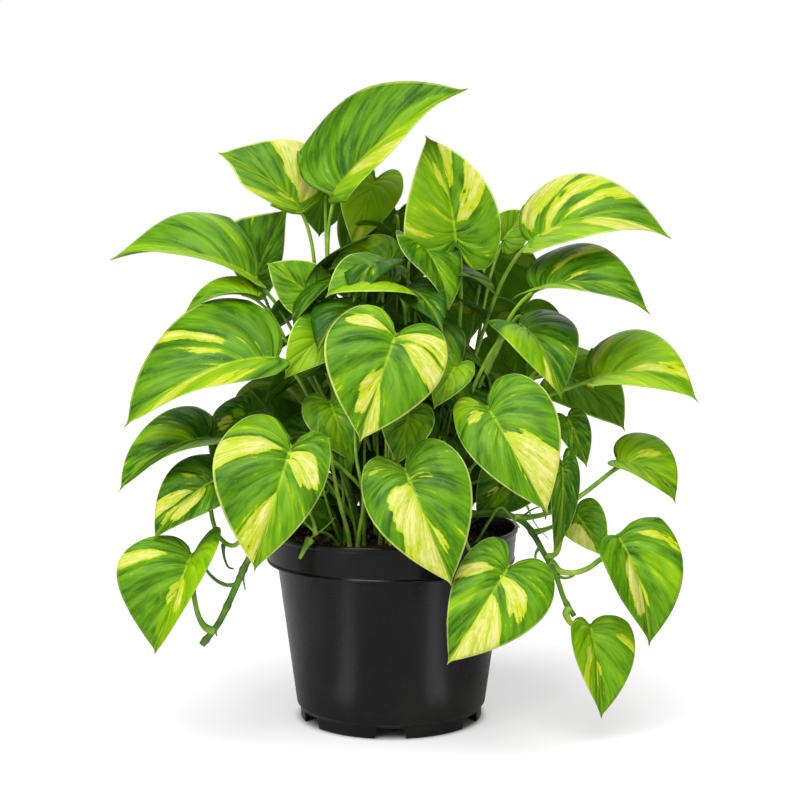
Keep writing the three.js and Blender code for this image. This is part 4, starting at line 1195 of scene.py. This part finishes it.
def wall_radius(height):
    """The outer radius of the pot's wall at a height below the band."""
    low, high = POT["foot_height"], POT["height"] - POT["rim_band"]
    shoulder, neck = POT["shoulder_radius"], POT["neck_radius"]
    return shoulder + (neck - shoulder) * (height - low) / (high - low)


def pot_section():
    """The pot's section as radii and heights, from the middle under the floor, up the outside
    and down the inside to the middle of the floor."""
    wall, top = POT["wall"], POT["height"]
    band_foot, floor_top = top - POT["rim_band"], POT["floor_level"] + wall
    rim, neck, foot = POT["rim_radius"], POT["neck_radius"], POT["foot_radius"]
    band = rim - POT["band_taper"]
    outline = [
        (0, POT["floor_level"]), (foot - wall, POT["floor_level"]), (foot - wall, 0), (foot, 0),
        (foot + FOOT_STEP["draft"], POT["foot_height"] - FOOT_STEP["below"]),
        (POT["shoulder_radius"], POT["foot_height"] + FOOT_STEP["above"]),
        (neck, band_foot), (band, band_foot), (band + BEAD["out"], band_foot + BEAD["start"]),
        (band + BEAD["out"], band_foot + BEAD["end"]), (band + BEAD["left"], band_foot + BEAD["gone"]),
        (rim - LIP["out"], top - LIP["foot"]), (rim, top - LIP["full"]), (rim, top), (rim - wall, top),
        (band - wall, band_foot + wall),
        (neck - wall, band_foot - wall), (wall_radius(floor_top) - wall, floor_top), (0, floor_top),
    ]
    return rounded(outline, CORNER_RADIUS)


def add_pot(trees, materials):
    body = grow(turned_object("nursery_pot", pot_section()), trees["pot"], materials["pot"])
    body.data.shade_smooth()
    body.data.set_sharp_from_angle(angle=math.radians(SHARP_ANGLE))
    piece(body, "pot_plastic", "pot")


def add_soil(trees, materials):
    """The soil's body, and loose crumbs strewn on it."""
    wall, floor_top = POT["wall"] + CLEARANCE, POT["floor_level"] + POT["wall"] + CLEARANCE
    band_foot, band = POT["height"] - POT["rim_band"], POT["rim_radius"] - POT["band_taper"] - wall
    edge, drop = band + SOIL["spread"], SOIL["crown"] - SOIL["edge"]
    top = [(r, SOIL["crown"] - drop * (r / edge) ** 2) for r in np.linspace(edge, 0, 38)]
    section = [
        (0, floor_top), (wall_radius(floor_top) - wall, floor_top),
        (POT["neck_radius"] - wall, band_foot - wall), (band, band_foot + wall), *top,
    ]
    body = grow(turned_object("potting_mix", section), trees["soil"], materials["soil"])
    crumbs = grow(new_object("bark_crumbs", body.data.copy()), trees["crumbs"], materials["crumbs"])
    piece(body, "potting_soil", "soil")
    piece(crumbs, "potting_soil")


def fan_of_petioles():
    """Petioles that rise from the front of the soil into the heart of the plant."""
    random = np.random.default_rng(SEED * 3)

    def chance(key):
        return random.uniform(*FAN_PETIOLES[key])

    fan = {}
    for number in range(FAN_PETIOLES["count"]):
        turn = math.radians(chance("turn"))
        outward = np.array([math.sin(turn), -math.cos(turn), 0])
        root = outward * chance("root") + (0, 0, SOIL["edge"])
        rise = chance("rise")
        lean = outward * chance("lean") + np.array([chance("sway"), 0, 0])
        shares = ((0, 0), (0.2, 0.3), (0.6, 0.7), (1, 1))
        through = [root + lean * out + (0, 0, rise * up) for out, up in shares]
        fan[f"fan_petiole_{number}"] = ("petiole", chance("radius"), through)
    return fan


def add_shoots(trees, materials):
    shoots = {"stem": [], "petiole": []}
    for name, (skin, radius, through) in {**SHOOTS, **fan_of_petioles()}.items():
        shoots[skin].append(grow(
            line_object(name, even_line(through, 24)), trees["stalk"], materials[skin],
            Radius=radius * MM, Flare=0.5, Flare_Length=0.004, Collar=0.0, Taper=0.45, Sides=10,
        ))
    for skin, chosen in shoots.items():
        gathered_piece(f"small_{skin}_shoots", chosen, "green_stem")


def inner_leaf(number):
    """A small leaf in the heart of the plant, by its place in a spiral up round the axis."""
    random = np.random.default_rng(SEED * 11 + number)

    def chance(key):
        return random.uniform(*INNER[key])

    turn = math.radians(GOLDEN_ANGLE) * number
    height = INNER["low"] + (INNER["high"] - INNER["low"]) * (number + 0.5) / INNER["count"]
    climb = (height - INNER["low"]) / (INNER["high"] - INNER["low"])
    near, far = INNER["near"], INNER["far"] * (1 - INNER["taper"] * climb)
    reach = near + (far - near) * random.uniform(0, 1) ** 0.5
    rise = chance("rise")
    outward = np.array([math.cos(turn), math.sin(turn), 0])
    if height < INNER["open_front"]:
        outward[1] = abs(outward[1])
        rise = chance("front_rise")
    sideways = np.array([-outward[1], outward[0], 0])
    base = reach * outward + np.array([0, 0, height])
    size = INNER["behind"] if outward[1] > 0 else 1
    length = size * chance("length")
    lean = INNER["outward"] * outward + chance("sideways") * sideways + np.array([0, 0, rise])
    stems = [name for name in STEMS if not name.endswith("vine")]
    tip = base + length * unit(lean)
    tip[2] = max(tip[2], INNER["lowest_tip"])
    on = min(stems, key=lambda name: np.linalg.norm((STEMS[name]["through"][-1] - base)[:2]))
    at, upward = chance("at"), chance("upward")
    return new_leaf(
        on, at, base, tip, size * chance("width"), outward + np.array([0, 0, upward]),
        arch=chance("arch"), fold=INNER["fold"], tone=chance("tone"),
    )


def add_inner_leaves(trees, materials):
    """The small leaves of the heart, gathered into a few pieces by their height."""
    gathered = {}
    for number in range(INNER["count"]):
        leaf = inner_leaf(number)
        layer = blade_layer("inner", leaf, FIRST_INNER + number, rows=34, columns=8)
        blade = new_object(f"inner_{number}", layer)
        grow(blade, trees["blade"], materials["blade"], Wave_Height=0.0012, Phase=float(number))
        petiole = line_object(f"inner_{number}_petiole", petiole_line(leaf)[::2])
        grow(petiole, trees["stalk"], materials["petiole"], Radius=INNER_PETIOLE * MM, Sides=9)
        gathered.setdefault(number * INNER_PIECES // INNER["count"], []).append(joined(blade, petiole))
    for level, leaves in gathered.items():
        gathered_piece(f"inner_leaves_{level + 1}", leaves, "variegated_leaf")


def add_lamp(name, kind, place, turned_to, **settings):
    light = bpy.data.lights.new(name, kind)
    for key, value in settings.items():
        setattr(light, key, value)
    lamp = new_object(name, light)
    lamp.location, lamp.rotation_euler = place, turned_to
    return lamp


def add_softbox(name, place, turned_to, size, power):
    return add_lamp(
        name, "AREA", place, turned_to, shape="RECTANGLE", size=size[0], size_y=size[1], energy=power,
    )


def add_lights():
    """A white room that lights softly, a broad high key from the front left, a weaker sun from
    behind, softboxes for the sheen, and strips for the pot to mirror."""
    world = bpy.data.worlds.new("studio")
    bpy.context.scene.world = world
    world.use_nodes = True
    world.node_tree.nodes.clear()
    start = Wire(world.node_tree)
    seen = start.node("ShaderNodeLightPath", output="Is Camera Ray")
    glow = start.node("ShaderNodeBackground", None, {
        "Color": (1, 1, 1, 1), "Strength": seen * (BACKDROP - WORLD_LIGHT) + WORLD_LIGHT,
    })
    start.node("ShaderNodeOutputWorld", None, {"Surface": glow})

    def facing_plant(place):
        return (Vector(LAMP_AIM) - Vector(place)).to_track_quat("-Z", "Y").to_euler()

    for name, (place, strength, breadth) in SUNS.items():
        add_lamp(name, "SUN", place, facing_plant(place), energy=strength, angle=math.radians(breadth))
    for name, (place, size, power) in SOFTBOXES.items():
        add_softbox(name, place, facing_plant(place), size, power)
    for name, (turn, reach, size, power) in STRIPS.items():
        turn = math.radians(turn)
        place = (reach * math.sin(turn), -reach * math.cos(turn), STRIP_LEVEL)
        add_softbox(name, place, (math.pi, 0, turn), size, power).visible_camera = False


def add_camera():
    data = bpy.data.cameras.new("camera")
    data.lens, data.sensor_width = LENS, SENSOR
    camera = new_object("camera", data)
    camera.location = CAMERA_PLACE
    camera.rotation_euler = (math.radians(90 - CAMERA_DOWN), 0, 0)
    bpy.context.scene.camera = camera


def add_floor(material):
    mesh = bpy.data.meshes.new("floor")
    corners = [(x * FLOOR_REACH, y * FLOOR_REACH, 0) for x, y in ((-1, -1), (1, -1), (1, 1), (-1, 1))]
    mesh.from_pydata(corners, [], [(0, 1, 2, 3)])
    mesh.materials.append(material)
    new_object("floor", mesh)


def main():
    materials = {
        "blade": blade_material(), "pot": pot_material(), "soil": soil_material(),
        "crumbs": crumb_material(),
        "petiole": stalk_material("petiole_skin", colour(176, 212, 58), colour(104, 162, 26), 0.0),
        "stem": stalk_material("stem_skin", colour(106, 158, 28), colour(54, 106, 10), 0.35),
    }
    trees = {
        "blade": blade_tree(), "stalk": stalk_tree(), "pot": pot_tree(), "soil": soil_tree(),
        "crumbs": crumb_tree(),
    }
    add_camera()
    add_lights()
    add_floor(floor_material())
    add_pot(trees, materials)
    add_soil(trees, materials)
    for name, stem in STEMS.items():
        add_stem(name, stem, trees, materials)
    for number, (name, leaf) in enumerate(LEAVES.items()):
        add_leaf(name, leaf, number, trees, materials)
    add_inner_leaves(trees, materials)
    add_shoots(trees, materials)
    bpy.context.scene.view_settings.view_transform = "Standard"


main()
